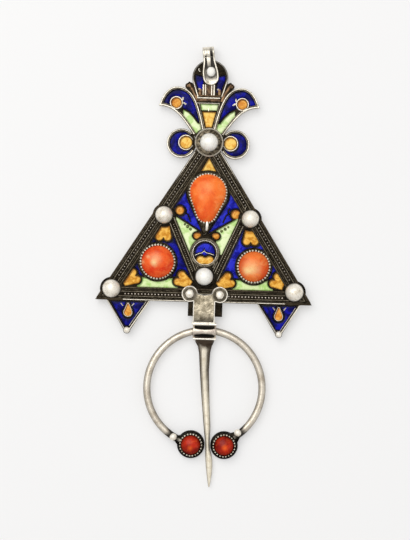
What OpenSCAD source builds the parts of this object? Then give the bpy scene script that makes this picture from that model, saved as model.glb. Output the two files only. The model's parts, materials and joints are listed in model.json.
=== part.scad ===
// Enamelled silver fibula: a triangular plaque with a flowered crest and a riveted bail,
// a pin riveted to its base, and an open ring that swings in the pin's tubular head.
// Units are millimetres. The brooch lies on its back, its face is +Z and its crest is +Y.

/* [Triangle] */
// Half of the triangle's base
half_base = 32.6; // [30:0.1:35]
// Sideways run of the slanted sides for each millimetre of height
side_run = 0.632; // [0.58:0.001:0.68]
// Width of the moulded border strips
border_w = 3.85; // [3.6:0.05:4.4]
// Width of the two inner strips that form a V
vee_w = 2.1; // [1.6:0.1:2.4]
// Thickness of the silver walls between the enamels
wire_w = 0.36; // [0.3:0.02:0.6]
// Width of the rims round the crest, its lobes and the two hanging points
rim_w = 0.6; // [0.5:0.05:0.8]

/* [Levels] */
// Height of the plaque's back above the surface it lies on
back_z = 1.3; // [1.25:0.05:1.5]
// Height of the floor under the enamel
floor_z = 2.1; // [2:0.05:2.3]
// Height of the enamel's surface
enamel_z = 2.8; // [2.6:0.05:2.9]
// Height of the walls round the enamel
wall_z = 3.05; // [2.9:0.05:3.1]
// Height of the mouldings on the border strips
ridge_z = 3.4; // [3.2:0.05:3.42]
// Height of the coral bezels
bezel_z = 4.3; // [4:0.1:4.8]

/* [Corals] */
// Radius of the drop-shaped coral at its broad end
drop_r = 5.5; // [5:0.05:5.8]
// Radius of the drop-shaped coral at its narrow end
drop_end_r = 3; // [2.4:0.1:3.2]
// Length of the drop-shaped coral
drop_l = 14.6; // [14:0.1:14.8]
// Radius of the left round coral
left_r = 4.9; // [4.4:0.05:5.1]
// Radius of the right round coral
right_r = 4.6; // [4.4:0.05:5.1]
// Radius of the two corals on the ring
tip_coral_r = 2.95; // [2.4:0.05:3.1]
// Thickness of the bezels' walls
bezel_w = 0.5; // [0.4:0.05:0.6]

/* [Ring] */
// Radius of the ring, to the middle of its wire
ring_r = 17.3; // [17:0.05:18.2]
// Radius of the ring's wire
wire_r = 1.1; // [1:0.05:1.2]
// Radius of the cups at the ring's ends
cup_r = 4.15; // [3.8:0.05:4.15]

/* [Pin] */
// Outer radius of the tubular head
head_r = 2.2; // [2.1:0.05:2.3]
// Radius of the head's bore
bore_r = 1.45; // [1.42:0.01:1.5]
// Length of the head
head_l = 7; // [6:0.1:7.2]
// Thickness of the riveted plate and its strap
strap_t = 0.85; // [0.7:0.05:0.9]

/* [Bail] */
// Inner radius of the bail's eye
eye_r = 1.5; // [1.45:0.01:1.6]
// Thickness of the bail's strap
bail_t = 0.7; // [0.6:0.05:0.75]
// Lean of the bail to the left, in degrees
bail_lean = 7; // [0:0.5:10]

/* [Hidden] */
gap = 0.04;
fine = 0.02;
silver = [0.78, 0.76, 0.71];
blue = [0.13, 0.15, 0.62];
green = [0.70, 0.90, 0.55];
amber = [0.92, 0.66, 0.22];
coral = [0.92, 0.36, 0.16];

// The crest, its boss and the other bosses: place, dome radius, collar radius
crest_boss = [0.25, 48, 2.7, 4.1];
bosses = [
    crest_boss,
    [0, 7.75, 2.6, 3.6],
    [-12.6, 25.9, 2.6, 3.4],
    [13.3, 25.4, 2.6, 3.4],
    [-27.7, 3.4, 2.7, 3.45],
    [27.1, 3.8, 2.7, 3.45],
];
boss_z = 3.3;
collar_z = 3.5;

// Where the corals sit
drop_at = [0.4, 33];
drop_end_at = [0.1, drop_at[1] + drop_r - drop_l + drop_end_r];
drop_collar_w = 0.7;
drop_foot = [-0.15, 20.9, 0.4];
left_at = [-14.1, 11.75];
right_at = [14.7, 11.15];
dome_h = 1.9;
drop_dome_h = 2.7;

// What lies inside the border is mirrored about a line a little right of the middle
inner_x = 0.3;
// Half of the V: its centre line from its foot to its head, measured from that line
vee_foot = [2.85, 7];
vee_head = [12.45, 28.8];

// Hearts: name, x, y, direction of the lobes, width, width at the foot
hearts = [
    ["left_top_heart", -12.6, 20.3, 270, 5.3, 3.6],
    ["right_top_heart", 13.6, 19.7, 270, 5.3, 3.6],
    ["left_outer_heart", -21.7, 6.8, 32, 5.3, 2.6],
    ["right_outer_heart", 22.1, 6.8, 148, 5.3, 2.6],
    ["left_inner_heart", -6.6, 6.6, 150, 5.2, 2.6],
    ["right_inner_heart", 6.7, 6.5, 30, 5.2, 2.6],
];

// The pin, ring and bail
fit_x = 0.55;
head_y = -8.6;
head_z = head_r;
ring_x = 1.03;
bow = (head_l / 2 + ring_x - fit_x) ^ 2 / (4 * ring_r);
ring_at = [ring_x, head_y - ring_r + bow];
cup_at = [[-2.58, -42.8], [7.42, -42.8]];
cup_stop = [11.5, 21.5];
ball_at = [[-7.9, -40.6], [11.4, -38.8]];
ball_r = 1.1;
rivet_at = [[-4.2, 2.5], [4.8, 2.4]];
rivet_r = 0.6;
rivet_head_r = 1.2;
plate_z = ridge_z + 0.05;
strap_w = 6.6;
lobe_r = 2.45;
strap_x = 0.2;
bail_at = [0.05, 68.9];
ball_x = 0.15;
bail_up = 7.95;
bail_down = 3.75;
eye_z = eye_r + bail_t;
eye_up = bail_up - eye_z;
leaf_gap = 1;
pin_tip = -55.5;
crown_top = bail_at[1] + bail_up * cos(bail_lean);
mid_y = (crown_top + pin_tip) / 2;

// Sections of the pin: distance down the plaque, middle, width, thickness
pin_rows = [
    [-10.4, 0.65, 6.0, 2.2],
    [-11.9, 0.68, 5.6, 2.0],
    [-13.2, 0.77, 4.2, 1.9],
    [-15.2, 0.78, 3.4, 1.9],
    [-20.2, 0.85, 2.8, 1.8],
    [-31, 1.61, 2.3, 1.6],
    [-37.3, 2.15, 1.9, 1.4],
    [-42.8, 2.42, 1.34, 1.2],
    [-44.2, 2.5, 1.42, 1.15],
    [-47.2, 3.08, 2.2, 1.1],
    [-51.8, 3.22, 1.5, 0.9],
    [pin_tip, 3.24, 0.3, 0.3],
];

// Enamel cells and their colours
enamels = concat(
    [for (h = hearts) [h[0], amber]],
    [for (s = ["left", "right"]) each [
        [str(s, "_field_blue"), blue],
        [str(s, "_corner_blue"), blue],
        [str(s, "_field_green"), green],
        [str(s, "_upper_blue"), blue],
        [str(s, "_upper_dot"), amber],
        [str(s, "_arm_green"), green],
        [str(s, "_arm_leaf"), amber],
        [str(s, "_point_blue"), blue],
        [str(s, "_point_drop"), amber],
        [str(s, "_lobe_blue"), blue],
        [str(s, "_lobe_disc"), amber],
        [str(s, "_petal_blue"), blue],
        [str(s, "_petal_green"), green],
        [str(s, "_petal_disc"), amber],
        [str(s, "_crown_blue"), blue],
    ]],
    [
        ["apex_drop", amber],
        ["round_blue", blue],
        ["round_bowl", amber],
        ["crest_green", green],
        ["crest_yellow", amber],
    ]
);

// Points of a cubic curve through p and s with the handles q and r
function curve(p, q, r, s, n = 10) = [
    for (i = [0:n - 1]) let (t = i / n, u = 1 - t)
        u ^ 3 * p + 3 * u * u * t * q + 3 * u * t * t * r + t ^ 3 * s
];
// Height of the triangle's tip when its three sides are moved in by d
function apex_y(d) = (half_base - d * sqrt(1 + side_run ^ 2)) / side_run;
function half_at(y, d) = (apex_y(d) - y) * side_run;
function side(name) = name[0] == "l" ? -1 : 1;

module triangle(d) {
    polygon([[-half_at(d, d), d], [half_at(d, d), d], [0, apex_y(d)]]);
}

// A bar of width w from p to q
module bar(p, q, w) {
    n = [p[1] - q[1], q[0] - p[0]] / norm(q - p) * w / 2;
    polygon([p + n, p - n, q - n, q + n]);
}

module at(p) translate([p[0], p[1]]) children();

module disc(p, r) at(p) circle(r, $fn = 40);

module mirrored(s) mirror([s < 0 ? 1 : 0, 0]) children();
module inner(s) translate([inner_x, 0]) mirrored(s) children();

// Outline round two discs and the straight lines that touch both. The lines' ends are tucked
// just inside the discs, so that no corner lies on a circle.
tuck = 0.004;
module capsule(p, r, q, k) {
    aim = atan2(q[1] - p[1], q[0] - p[0]);
    open = acos((r - k) / norm(q - p));
    function on(c, d, s) = c + d * [cos(aim + s * open), sin(aim + s * open)];
    at(p) circle(r, $fn = 64);
    at(q) circle(k, $fn = 32);
    polygon([on(p, r - tuck, 1), on(p, r - tuck, -1), on(q, k - tuck, -1), on(q, k - tuck, 1)]);
}

// Outline of the drop-shaped coral, moved out by d
module drop_outline(d) capsule(drop_at, drop_r + d, drop_end_at, drop_end_r + d);

// Outline of its collar, which runs down to a point
module drop_collar(d) capsule(drop_at, drop_r + drop_collar_w + d, drop_foot, drop_foot[2] + d);

// A heart with its lobes towards the given direction
module heart(p, turn, w, foot) {
    lobe = w * 0.27;
    at(p) rotate(turn) union() {
        for (s = [-1, 1]) disc([w * 0.18, s * w * 0.23], lobe);
        polygon([[w * 0.18, -w * 0.5], [w * 0.3, 0], [w * 0.18, w * 0.5],
            [-w * 0.62, foot / 2], [-w * 0.62, -foot / 2]]);
    }
}

module vee(w) for (s = [-1, 1]) inner(s) bar(vee_foot, vee_head, w);

module collars(d) for (b = bosses) disc(b, b[3] + d);

module round_bezels(d) {
    disc(left_at, left_r + bezel_w + d);
    disc(right_at, right_r + bezel_w + d);
}

// Inner field of the triangle between the border, the V and the bosses
module field() {
    difference() {
        translate([inner_x, 0]) triangle(border_w);
        vee(vee_w);
        collars(0);
    }
}

// One of the two fields beside the V, with its round coral's bezel taken out
module side_field(s) {
    difference() {
        intersection() {
            field();
            inner(s) polygon([[0, 0], vee_foot, vee_head, [half_base, 30], [half_base, 0]]);
        }
        round_bezels(0);
    }
}

module all_hearts() for (h = hearts) heart([h[1], h[2]], h[3], h[4], h[5]);

green_line = 7.2;
module side_green(s) {
    intersection() {
        difference() {
            side_field(s);
            all_hearts();
        }
        inner(s) at([8, 0]) square([12.6, green_line]);
    }
}

// Everything inside the V and above it
module middle_field() {
    difference() {
        intersection() {
            field();
            for (s = [-1, 1]) inner(s) polygon([[-1, 0], vee_foot, vee_head, [0, 60], [-1, 60]]);
        }
        drop_collar(0);
    }
}

round_at = [-0.05, 14.9];
round_r = 3.3;
round_ring_r = 4.3;
arm_line = [[9.4, 25.8], [0.3, 20.3]];
arm_slope = (arm_line[0][1] - arm_line[1][1]) / (arm_line[0][0] - arm_line[1][0]);
function arm_y(x) = arm_line[1][1] + (x - arm_line[1][0]) * arm_slope;
// The part of an arm that lies further out than x
module arm(s, x) {
    intersection() {
        middle_field();
        inner(s) polygon([arm_line[0], [x, arm_y(x)], [x, 14.2], [12, 14.2]]);
    }
}

petal_ends = [[1.45, 51.9], [9.5, 64.55], [14.95, 58.7], [4.5, 50.2]];
module petal() {
    polygon(concat(
        curve(petal_ends[0], [2.9, 58.2], [4.3, 64.4], petal_ends[1]),
        curve(petal_ends[1], [12.5, 64.6], [14.4, 61.6], petal_ends[2]),
        curve(petal_ends[2], [10.05, 58.7], [7.65, 54.7], petal_ends[3]),
        [petal_ends[3], [3, 48.6], [1, 49]]
    ));
}

module petal_field() {
    difference() {
        offset(delta = -rim_w) petal();
        disc(crest_boss, crest_boss[3]);
    }
}

// The green leaf fills a petal's foot, below a curved line
module leaf() {
    polygon([[0, 46], [8, 46], [8, 57.9], [7.2, 57.6], [6.04, 57], [4.6, 55.6], [3.3, 53.9],
        [0, 53.2]]);
}

petal_disc_at = [9.9, 59.65];
petal_disc_r = 1.75;
lobe_at = [8.05, 47.55];
lobe_out_r = 4.4;
lobe_disc_at = [6.7, 47.8];
lobe_disc_r = 2.1;
crown_at = [0.05, 67.35];
crown_r = 5.4;
crown_foot = [3.8, 61.6];

module crown(d) {
    disc(crown_at, crown_r + d);
    polygon([
        [-crown_foot[0] - d, crown_foot[1]], [crown_foot[0] + d, crown_foot[1]],
        [crown_at[0] + crown_r - 0.3 + d, 66.2], [crown_at[0] - crown_r + 0.3 - d, 66.2],
    ]);
}

// Brackets under the crown, which end in two small square lugs
module brackets() {
    for (s = [-1, 1]) mirrored(s)
        polygon([[1, 60], [3, 58], [7.3, 64.8], [6.3, 66.1], [4.6, 65.4], [3, 62]]);
}

point_half = 6.65;
point_at = [22.6, -10.5];
point_ball = [22.8, -8.95];
point_ball_r = 1.05;
module point_outline(d) {
    intersection() {
        polygon([[point_at[0] - point_half + d, 0.4], [point_at[0] + point_half - d, 0.4],
            [point_at[0] + 0.15, point_at[1] + d * 1.9]]);
        translate([0, point_ball[1] + d * 1.7]) square([60, 20]);
    }
}

module point_drop() {
    at([22.6, -3.6]) union() {
        circle(1.5, $fn = 32);
        polygon([[-1.43, 0.45], [-0.35, 3], [0.35, 3], [1.43, 0.45]]);
    }
}

// Flat outline of the whole plaque
module outline() {
    intersection() {
        triangle(0);
        square([2 * 32.1, 120], center = true);
    }
    for (s = [-1, 1]) mirrored(s) {
        point_outline(0);
        disc(point_ball, point_ball_r);
        petal();
        disc(lobe_at, lobe_out_r);
    }
    polygon([[-3.7, 62.6], [3.7, 62.6], [2.5, 50], [-2.5, 50]]);
    disc(crest_boss, crest_boss[3]);
    brackets();
    crown(0);
}

// The enamel cells, each drawn to the middle of the walls round it
module cell(name) {
    s = side(name);
    for (h = hearts) if (name == h[0]) intersection() {
        side_field(s);
        heart([h[1], h[2]], h[3], h[4], h[5]);
    }
    if (name == "left_field_blue" || name == "right_field_blue") difference() {
        intersection() {
            side_field(s);
            inner(s)
                polygon([[4, green_line], [14.4, green_line], [14.4, 14], [20, 14.4], [12, 30], [4, 12]]);
        }
        all_hearts();
        side_green(s);
    }
    if (name == "left_corner_blue" || name == "right_corner_blue") difference() {
        intersection() {
            side_field(s);
            inner(s) polygon([[14.4, green_line], [26, green_line], [20.5, 13.6], [14.4, 13.6]]);
        }
        all_hearts();
        side_green(s);
    }
    if (name == "left_field_green" || name == "right_field_green") side_green(s);
    if (name == "left_upper_blue" || name == "right_upper_blue") difference() {
        intersection() {
            middle_field();
            inner(s) polygon([[0.2, 34], [12, 34], [12, 27], arm_line[0], arm_line[1], [0.2, 20.4]]);
        }
        upper_dot(s);
    }
    if (name == "left_upper_dot" || name == "right_upper_dot") intersection() {
        upper_dot(s);
        middle_field();
    }
    if (name == "left_arm_green" || name == "right_arm_green") difference() {
        arm(s, 2.7);
        arm_leaf(s);
        disc(round_at, round_ring_r);
    }
    if (name == "left_arm_leaf" || name == "right_arm_leaf") difference() {
        intersection() {
            arm_leaf(s);
            arm(s, 1.1);
        }
        disc(round_at, round_ring_r);
    }
    if (name == "apex_drop") intersection() {
        middle_field();
        translate([0.4, 0]) polygon([[-2.6, 36], [2.6, 36], [2.4, 39.6], [0, 43.8], [-2.4, 39.6]]);
    }
    if (name == "round_blue") difference() {
        disc(round_at, round_r);
        bowl();
    }
    if (name == "round_bowl") difference() {
        bowl();
        collars(0);
    }
    if (name == "left_point_blue" || name == "right_point_blue") mirrored(s) difference() {
        intersection() {
            point_outline(rim_w);
            translate([0, -20]) square([60, 19.9]);
        }
        point_drop();
    }
    if (name == "left_point_drop" || name == "right_point_drop") mirrored(s) intersection() {
        point_outline(rim_w);
        point_drop();
    }
    if (name == "left_lobe_blue" || name == "right_lobe_blue") difference() {
        side_lobe(s);
        mirrored(s) disc(lobe_disc_at, lobe_disc_r);
    }
    if (name == "left_lobe_disc" || name == "right_lobe_disc") intersection() {
        side_lobe(s);
        mirrored(s) disc(lobe_disc_at, lobe_disc_r);
    }
    if (name == "left_petal_blue" || name == "right_petal_blue") mirrored(s) difference() {
        petal_field();
        leaf();
        disc(petal_disc_at, petal_disc_r);
        at([8.2, 55]) square([3.3, 3.2]);
    }
    if (name == "left_petal_green" || name == "right_petal_green") mirrored(s) difference() {
        intersection() {
            petal_field();
            leaf();
        }
        disc(petal_disc_at, petal_disc_r);
    }
    if (name == "left_petal_disc" || name == "right_petal_disc") mirrored(s) intersection() {
        petal_field();
        disc(petal_disc_at, petal_disc_r);
    }
    if (name == "left_crown_blue" || name == "right_crown_blue") intersection() {
        crown(-rim_w);
        mirrored(s) polygon([[1.7, 62.8], [7, 62.8], [7, 69], [1.7, 68]]);
    }
    if (name == "crest_green") polygon([[-2.95, 59.7], [2.95, 59.7], [2.5, 57.4], [-2.5, 57.4]]);
    if (name == "crest_yellow") polygon([[-2.35, 57.4], [2.35, 57.4], [1.1, 52.3], [-1.1, 52.3]]);
}

module upper_dot(s) {
    if (s < 0) disc([-7.9, 27.4], 1.5);
    else disc([8.9, 26.6], 1.6);
}

module arm_leaf(s) {
    inner(s) at([2.75, 20]) rotate(-14) union() {
        disc([0.25, 0], 1.15);
        disc([-0.35, 0.05], 0.95);
    }
}

module bowl() {
    at([0.05, 12.6]) union() {
        for (s = [-1, 1]) disc([s * 1.32, 0.1], 1.5);
        disc([0, -0.5], 1.7);
    }
}

module side_lobe(s) {
    difference() {
        mirrored(s) disc(lobe_at, lobe_out_r - rim_w);
        triangle(0);
        mirrored(s) petal();
        disc(crest_boss, crest_boss[3]);
    }
}

// A boss: a domed head on a stepped collar
module boss(b) {
    translate([b[0], b[1], 0]) {
        translate([0, 0, floor_z]) cylinder(r = b[3], h = collar_z - 0.25 - floor_z, $fn = 48);
        translate([0, 0, floor_z]) cylinder(r = b[3] - 0.5, h = collar_z - floor_z, $fn = 48);
        translate([0, 0, boss_z]) intersection() {
            sphere(r = b[2], $fn = 48);
            translate([-5, -5, -0.6]) cube([10, 10, 5]);
        }
    }
}

// A raised frame that follows the triangle, from a to b in from its edge
module moulding(a, b, top) {
    translate([0, 0, wall_z - fine]) linear_extrude(top - wall_z + fine) intersection() {
        difference() {
            triangle(a);
            triangle(b);
        }
        square([2 * 32.1, 2 * 46], center = true);
    }
}

module plaque() {
    color(silver) difference() {
        union() {
            difference() {
                translate([0, 0, back_z]) linear_extrude(wall_z - back_z) outline();
                translate([0, 0, floor_z]) linear_extrude(5)
                    for (e = enamels) offset(delta = -wire_w / 2) cell(e[0]);
                coral_seats();
            }
            moulding(0, 0.55, ridge_z);
            moulding(1.15, 1.5, ridge_z - 0.08);
            moulding(2.55, 2.9, ridge_z - 0.08);
            moulding(3.6, 4.05, ridge_z - 0.05);
            translate([0, 0, wall_z - fine]) linear_extrude(0.25) intersection() {
                difference() {
                    vee(vee_w - 0.1);
                    vee(vee_w - 0.8);
                    collars(0.35);
                }
                triangle(border_w);
            }
            round_rim();
            base_tab();
            bezels();
            for (b = bosses) boss(b);
            crest_bands();
        }
        for (p = rivet_at) translate([p[0], p[1], 0]) cylinder(r = rivet_r + gap, h = 9, $fn = 32);
        translate([bail_at[0], bail_at[1], 0]) cylinder(r = rivet_r + gap, h = 9, $fn = 32);
        plate_clearance();
    }
}

// Room for the riveted plate where it lies over the low boss's collar
module plate_clearance() {
    translate([0, 0, plate_z - gap]) linear_extrude(4) intersection() {
        offset(delta = gap) plate_outline();
        square([30, 12], center = true);
    }
}

module coral_seats() {
    for (c = [[left_at, left_r], [right_at, right_r]])
        translate([c[0][0], c[0][1], floor_z]) cylinder(r = c[1] + gap, h = 9, $fn = 64);
    translate([0, 0, floor_z]) linear_extrude(9) drop_outline(gap);
}

module bezels() {
    for (c = [[left_at, left_r], [right_at, right_r]])
        translate([c[0][0], c[0][1], floor_z - fine]) difference() {
            cylinder(r = c[1] + bezel_w, h = bezel_z - floor_z, $fn = 64);
            translate([0, 0, -1]) cylinder(r = c[1] + gap, h = 9, $fn = 64);
        }
    translate([0, 0, floor_z - fine]) linear_extrude(bezel_z - floor_z) difference() {
        drop_collar(0);
        drop_outline(gap);
    }
}

// The rope ring round the small round cell
module round_rim() {
    translate([round_at[0], round_at[1], wall_z - fine]) difference() {
        cylinder(r = round_ring_r, h = 0.35, $fn = 48);
        translate([0, 0, -1]) cylinder(r = round_r + 0.3, h = 3, $fn = 48);
        translate([-3, -8, -1]) cube([6, 6, 3]);
    }
}

// Flat tab under the strap, which carries it below the triangle's base
module base_tab() {
    translate([-4.6, -4.2, back_z]) cube([10.3, 4.4, 1.9]);
}

// Bands and little columns of the crest's middle panel
module crest_bands() {
    for (y = [59.8, 61.2]) translate([-3.3, y, wall_z - fine]) cube([6.6, 0.35, 0.1]);
    for (x = [-1.5, -0.6, 0.3, 1.2]) translate([x, 61.9, wall_z - fine]) cube([0.35, 3, 0.08]);
}

module plate_outline() {
    for (p = rivet_at) disc(p, lobe_r);
    translate([strap_x - strap_w / 2, head_y + 2]) square([strap_w, -head_y - 0.6]);
    polygon([[-4.2, 0.6], [4.8, 0.6], [4.8, 3.2], [1.8, 2.6], [0.3, 2.3], [-1.2, 2.6], [-4.2, 3.2]]);
}

// The pin's blade: a ridge runs along its upper and its lower face
function pin_z(y) = head_z + (y - head_y) * 0.018;
function pin_section(r) = let (w = r[2] / 2, t = r[3] / 2, e = t * 0.3, z = pin_z(r[0])) [
    [r[1] - w, r[0], z - e], [r[1], r[0], z - t], [r[1] + w, r[0], z - e],
    [r[1] + w, r[0], z + e], [r[1], r[0], z + t], [r[1] - w, r[0], z + e],
];
pin_points = [for (r = pin_rows) each pin_section(r)];
pin_last = len(pin_rows) - 1;
pin_faces = concat(
    [[for (k = [0:5]) k]],
    [for (i = [0:pin_last - 1], k = [0:5]) let (a = 6 * i, b = a + 6, m = (k + 1) % 6)
        [a + k, b + k, b + m, a + m]],
    [[for (k = [5:-1:0]) 6 * pin_last + k]]
);

module along_x(p, r, l) {
    translate([p[0] - l / 2, p[1], p[2]]) rotate([0, 90, 0]) cylinder(r = r, h = l, $fn = 48);
}

module pin() {
    head = [fit_x, head_y, head_z];
    color(silver) difference() {
        union() {
            translate([0, 0, plate_z]) linear_extrude(strap_t) plate_outline();
            along_x(head, head_r, head_l);
            along_x([fit_x, head_y + 2.15, plate_z + 0.2], 0.7, head_l);
            along_x([fit_x, head_y - 2.35, head_z + 0.25], 0.75, head_l - 0.3);
            polyhedron(pin_points, pin_faces, convexity = 4);
        }
        along_x(head, bore_r, head_l + 4);
        for (p = rivet_at) translate([p[0], p[1], 0]) cylinder(r = rivet_r + gap, h = 9, $fn = 32);
    }
}

// One of the plate's rivets: a shank with a domed head
module plate_rivet(p) {
    top = plate_z + strap_t + gap;
    color(silver) translate([p[0], p[1], 0]) {
        translate([0, 0, back_z + gap]) cylinder(r = rivet_r, h = top - back_z, $fn = 32);
        translate([0, 0, top]) intersection() {
            translate([0, 0, -0.35]) sphere(r = rivet_head_r + 0.05, $fn = 32);
            cylinder(r = rivet_head_r, h = 2, $fn = 32);
        }
    }
}

module left_rivet() plate_rivet(rivet_at[0]);
module right_rivet() plate_rivet(rivet_at[1]);

module bail_place() translate([bail_at[0], bail_at[1], 0]) rotate(bail_lean) children();

// Flat shape of one leaf of the bail
module leaf_outline() {
    circle(2.35, $fn = 48);
    translate([0, -bail_down + 2.35]) circle(2.35, $fn = 48);
    polygon([[-2.35, -1.5], [2.35, -1.5], [2.3, 0.4], [1.7, 3.4], [1.65, eye_up], [-1.65, eye_up],
        [-1.7, 3.4], [-2.3, 0.4]]);
}

// Folded strap: two leaves and a round eye at the fold
module bail() {
    lower = eye_z - leaf_gap - bail_t;
    upper = eye_z + leaf_gap;
    color(silver) bail_place() difference() {
        union() {
            for (z = [lower, upper]) translate([0, 0, z]) linear_extrude(bail_t) leaf_outline();
            translate([0, 0, upper + bail_t - fine]) linear_extrude(0.25) difference() {
                leaf_outline();
                offset(delta = -0.5) leaf_outline();
            }
            along_x([0, eye_up, eye_z], eye_r + bail_t, 3.3);
        }
        along_x([0, eye_up, eye_z], eye_r, 9);
        translate([-5, -9, eye_z - leaf_gap]) cube([10, 9 + eye_up, 2 * leaf_gap]);
        translate([0, 0, -1]) cylinder(r = rivet_r + gap, h = 9, $fn = 32);
    }
}

// Rivet through both leaves, with a ball for a head
module bail_rivet() {
    top = eye_z + leaf_gap + bail_t;
    foot = eye_z - leaf_gap - bail_t;
    color(silver) translate([bail_at[0], bail_at[1], 0]) {
        translate([0, 0, foot - 0.3]) cylinder(r = rivet_r, h = top - foot + 0.6, $fn = 32);
        translate([0, 0, foot - 0.4]) cylinder(r = 1.1, h = 0.4 - gap, $fn = 32);
        translate([ball_x, 0, top + gap]) intersection() {
            translate([0, 0, 0.75]) sphere(r = 1.3, $fn = 32);
            cylinder(r = 2, h = 3, $fn = 32);
        }
    }
}

// A cup on the end of the ring: flange, stem and bezel
cup_flange_z = 1.9;
cup_bezel_z = 3.5;
cup_seat_z = 1.5;
module cup(p) {
    translate([p[0], p[1], 0]) difference() {
        union() {
            cylinder(r = cup_r, h = cup_flange_z, $fn = 48);
            translate([0, 0, cup_flange_z]) cylinder(r = tip_coral_r + 0.9, h = 0.7, $fn = 48);
            cylinder(r = tip_coral_r + bezel_w, h = cup_bezel_z, $fn = 48);
        }
        translate([0, 0, cup_seat_z]) cylinder(r = tip_coral_r + gap, h = 9, $fn = 48);
    }
}

module ring() {
    start = -90 + cup_stop[1];
    sweep = 360 - cup_stop[0] - cup_stop[1];
    color(silver) difference() {
        union() {
            translate([ring_at[0], ring_at[1], head_z]) rotate(start)
                rotate_extrude(angle = sweep, $fn = 96) translate([ring_r, 0]) circle(wire_r, $fn = 32);
            for (p = ball_at) translate([p[0], p[1], head_z + 0.5]) sphere(r = ball_r, $fn = 32);
            for (p = cup_at) cup(p);
            for (s = [-1, 1]) wedge(s);
        }
        for (p = cup_at) translate([p[0], p[1], cup_seat_z])
            cylinder(r = tip_coral_r + gap, h = 9, $fn = 48);
    }
}

// Small tapering collar between the wire and a cup
module wedge(s) {
    a = s < 0 ? -90 - cup_stop[0] - 13 : -90 + cup_stop[1] + 13;
    c = cup_at[s < 0 ? 0 : 1];
    w = [ring_at[0] + ring_r * cos(a), ring_at[1] + ring_r * sin(a)];
    translate([0, 0, head_z - 1]) linear_extrude(1.9) capsule(c, 3.2, w, 1.3);
}

// A round cabochon: radius, height of its cap, seat and the edge where the cap begins
module round_coral(p, r, h, seat, edge) {
    big = (r * r + h * h) / (2 * h);
    color(coral) translate([p[0], p[1], 0]) intersection() {
        translate([0, 0, seat + gap]) cylinder(r = r, h = 9, $fn = 64);
        translate([0, 0, edge + h - big]) sphere(r = big, $fn = 96);
    }
}

module left_coral() round_coral(left_at, left_r, dome_h, floor_z, bezel_z - 0.3);
module right_coral() round_coral(right_at, right_r, dome_h, floor_z, bezel_z - 0.3);
module left_tip_coral() round_coral(cup_at[0], tip_coral_r, 1.5, cup_seat_z, cup_bezel_z - 0.2);
module right_tip_coral() round_coral(cup_at[1], tip_coral_r, 1.5, cup_seat_z, cup_bezel_z - 0.2);

module drop_coral() {
    steps = 6;
    edge = bezel_z - 0.35;
    color(coral) hull() {
        translate([0, 0, floor_z + gap]) linear_extrude(fine) dome_slice(1);
        for (i = [0:steps]) let (a = i * 78 / steps)
            translate([0, 0, edge + drop_dome_h * sin(a)]) linear_extrude(fine) dome_slice(cos(a));
    }
}

// A slice of the drop's dome, drawn in towards its middle to the share k
module dome_slice(k) {
    mid = drop_at + [0, -1.5];
    at(mid + (drop_at - mid) * k) circle(drop_r * k, $fn = 40);
    at(mid + (drop_end_at - mid) * k) circle(drop_end_r * k, $fn = 32);
}

// One piece of enamel in its cell
module enamel(name, tint) {
    color(tint) translate([0, 0, floor_z + gap]) linear_extrude(enamel_z - floor_z - gap)
        offset(delta = -wire_w / 2 - gap) cell(name);
}

module place() translate([0, -mid_y, 0]) children();

place() plaque();
place() pin();
place() ring();
place() bail();
place() bail_rivet();
place() left_rivet();
place() right_rivet();
place() drop_coral();
place() left_coral();
place() right_coral();
place() left_tip_coral();
place() right_tip_coral();
for (e = enamels) place() enamel(e[0], e[1]);
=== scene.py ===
# An enamelled silver brooch with coral, dressed for its portrait.
# Places are in millimetres in the plaque's own frame: x to the right, y towards the crest from the
# middle of the triangle's base, z up from the table. inFrame() turns them into the CAD frame's metres.
import json
import math

import bpy
import numpy as np
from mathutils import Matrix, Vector, noise
from mathutils.geometry import delaunay_2d_cdt


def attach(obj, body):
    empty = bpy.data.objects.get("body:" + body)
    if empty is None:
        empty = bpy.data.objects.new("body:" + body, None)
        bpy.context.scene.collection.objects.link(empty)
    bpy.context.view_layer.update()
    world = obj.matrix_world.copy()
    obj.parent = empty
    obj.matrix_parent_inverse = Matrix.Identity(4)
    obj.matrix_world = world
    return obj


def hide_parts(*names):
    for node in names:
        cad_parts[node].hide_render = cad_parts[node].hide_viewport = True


noise.seed_set(7)  # its vectors differ from run to run otherwise
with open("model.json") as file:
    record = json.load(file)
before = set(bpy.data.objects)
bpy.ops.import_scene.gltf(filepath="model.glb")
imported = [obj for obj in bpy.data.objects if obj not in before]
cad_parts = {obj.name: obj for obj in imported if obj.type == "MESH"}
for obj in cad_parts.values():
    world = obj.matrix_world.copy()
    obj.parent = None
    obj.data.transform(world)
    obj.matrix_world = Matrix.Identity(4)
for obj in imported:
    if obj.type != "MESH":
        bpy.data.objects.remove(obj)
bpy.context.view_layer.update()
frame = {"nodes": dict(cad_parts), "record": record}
print("frame loaded:", len(frame["nodes"]), "nodes")

baseY = 10.645  # the frame's origin, measured up the plaque from the triangle's base


def inFrame(points):
    return (np.asarray(points, float) - (0, baseY, 0)) / 1000


def ink(code):
    # a hexadecimal display colour as linear values with full alpha
    parts = [int(code[i:i + 2], 16) / 255 for i in (1, 3, 5)]
    return (*[p / 12.92 if p <= 0.04045 else ((p + 0.055) / 1.055) ** 2.4 for p in parts], 1.0)


def step(value, low, high):
    # a smooth rise from 0 to 1 between the two
    t = min(1, max(0, (value - low) / (high - low)))
    return t * t * (3 - 2 * t)


# One small class for a socket's value and one for a material that is being mixed.


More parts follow.
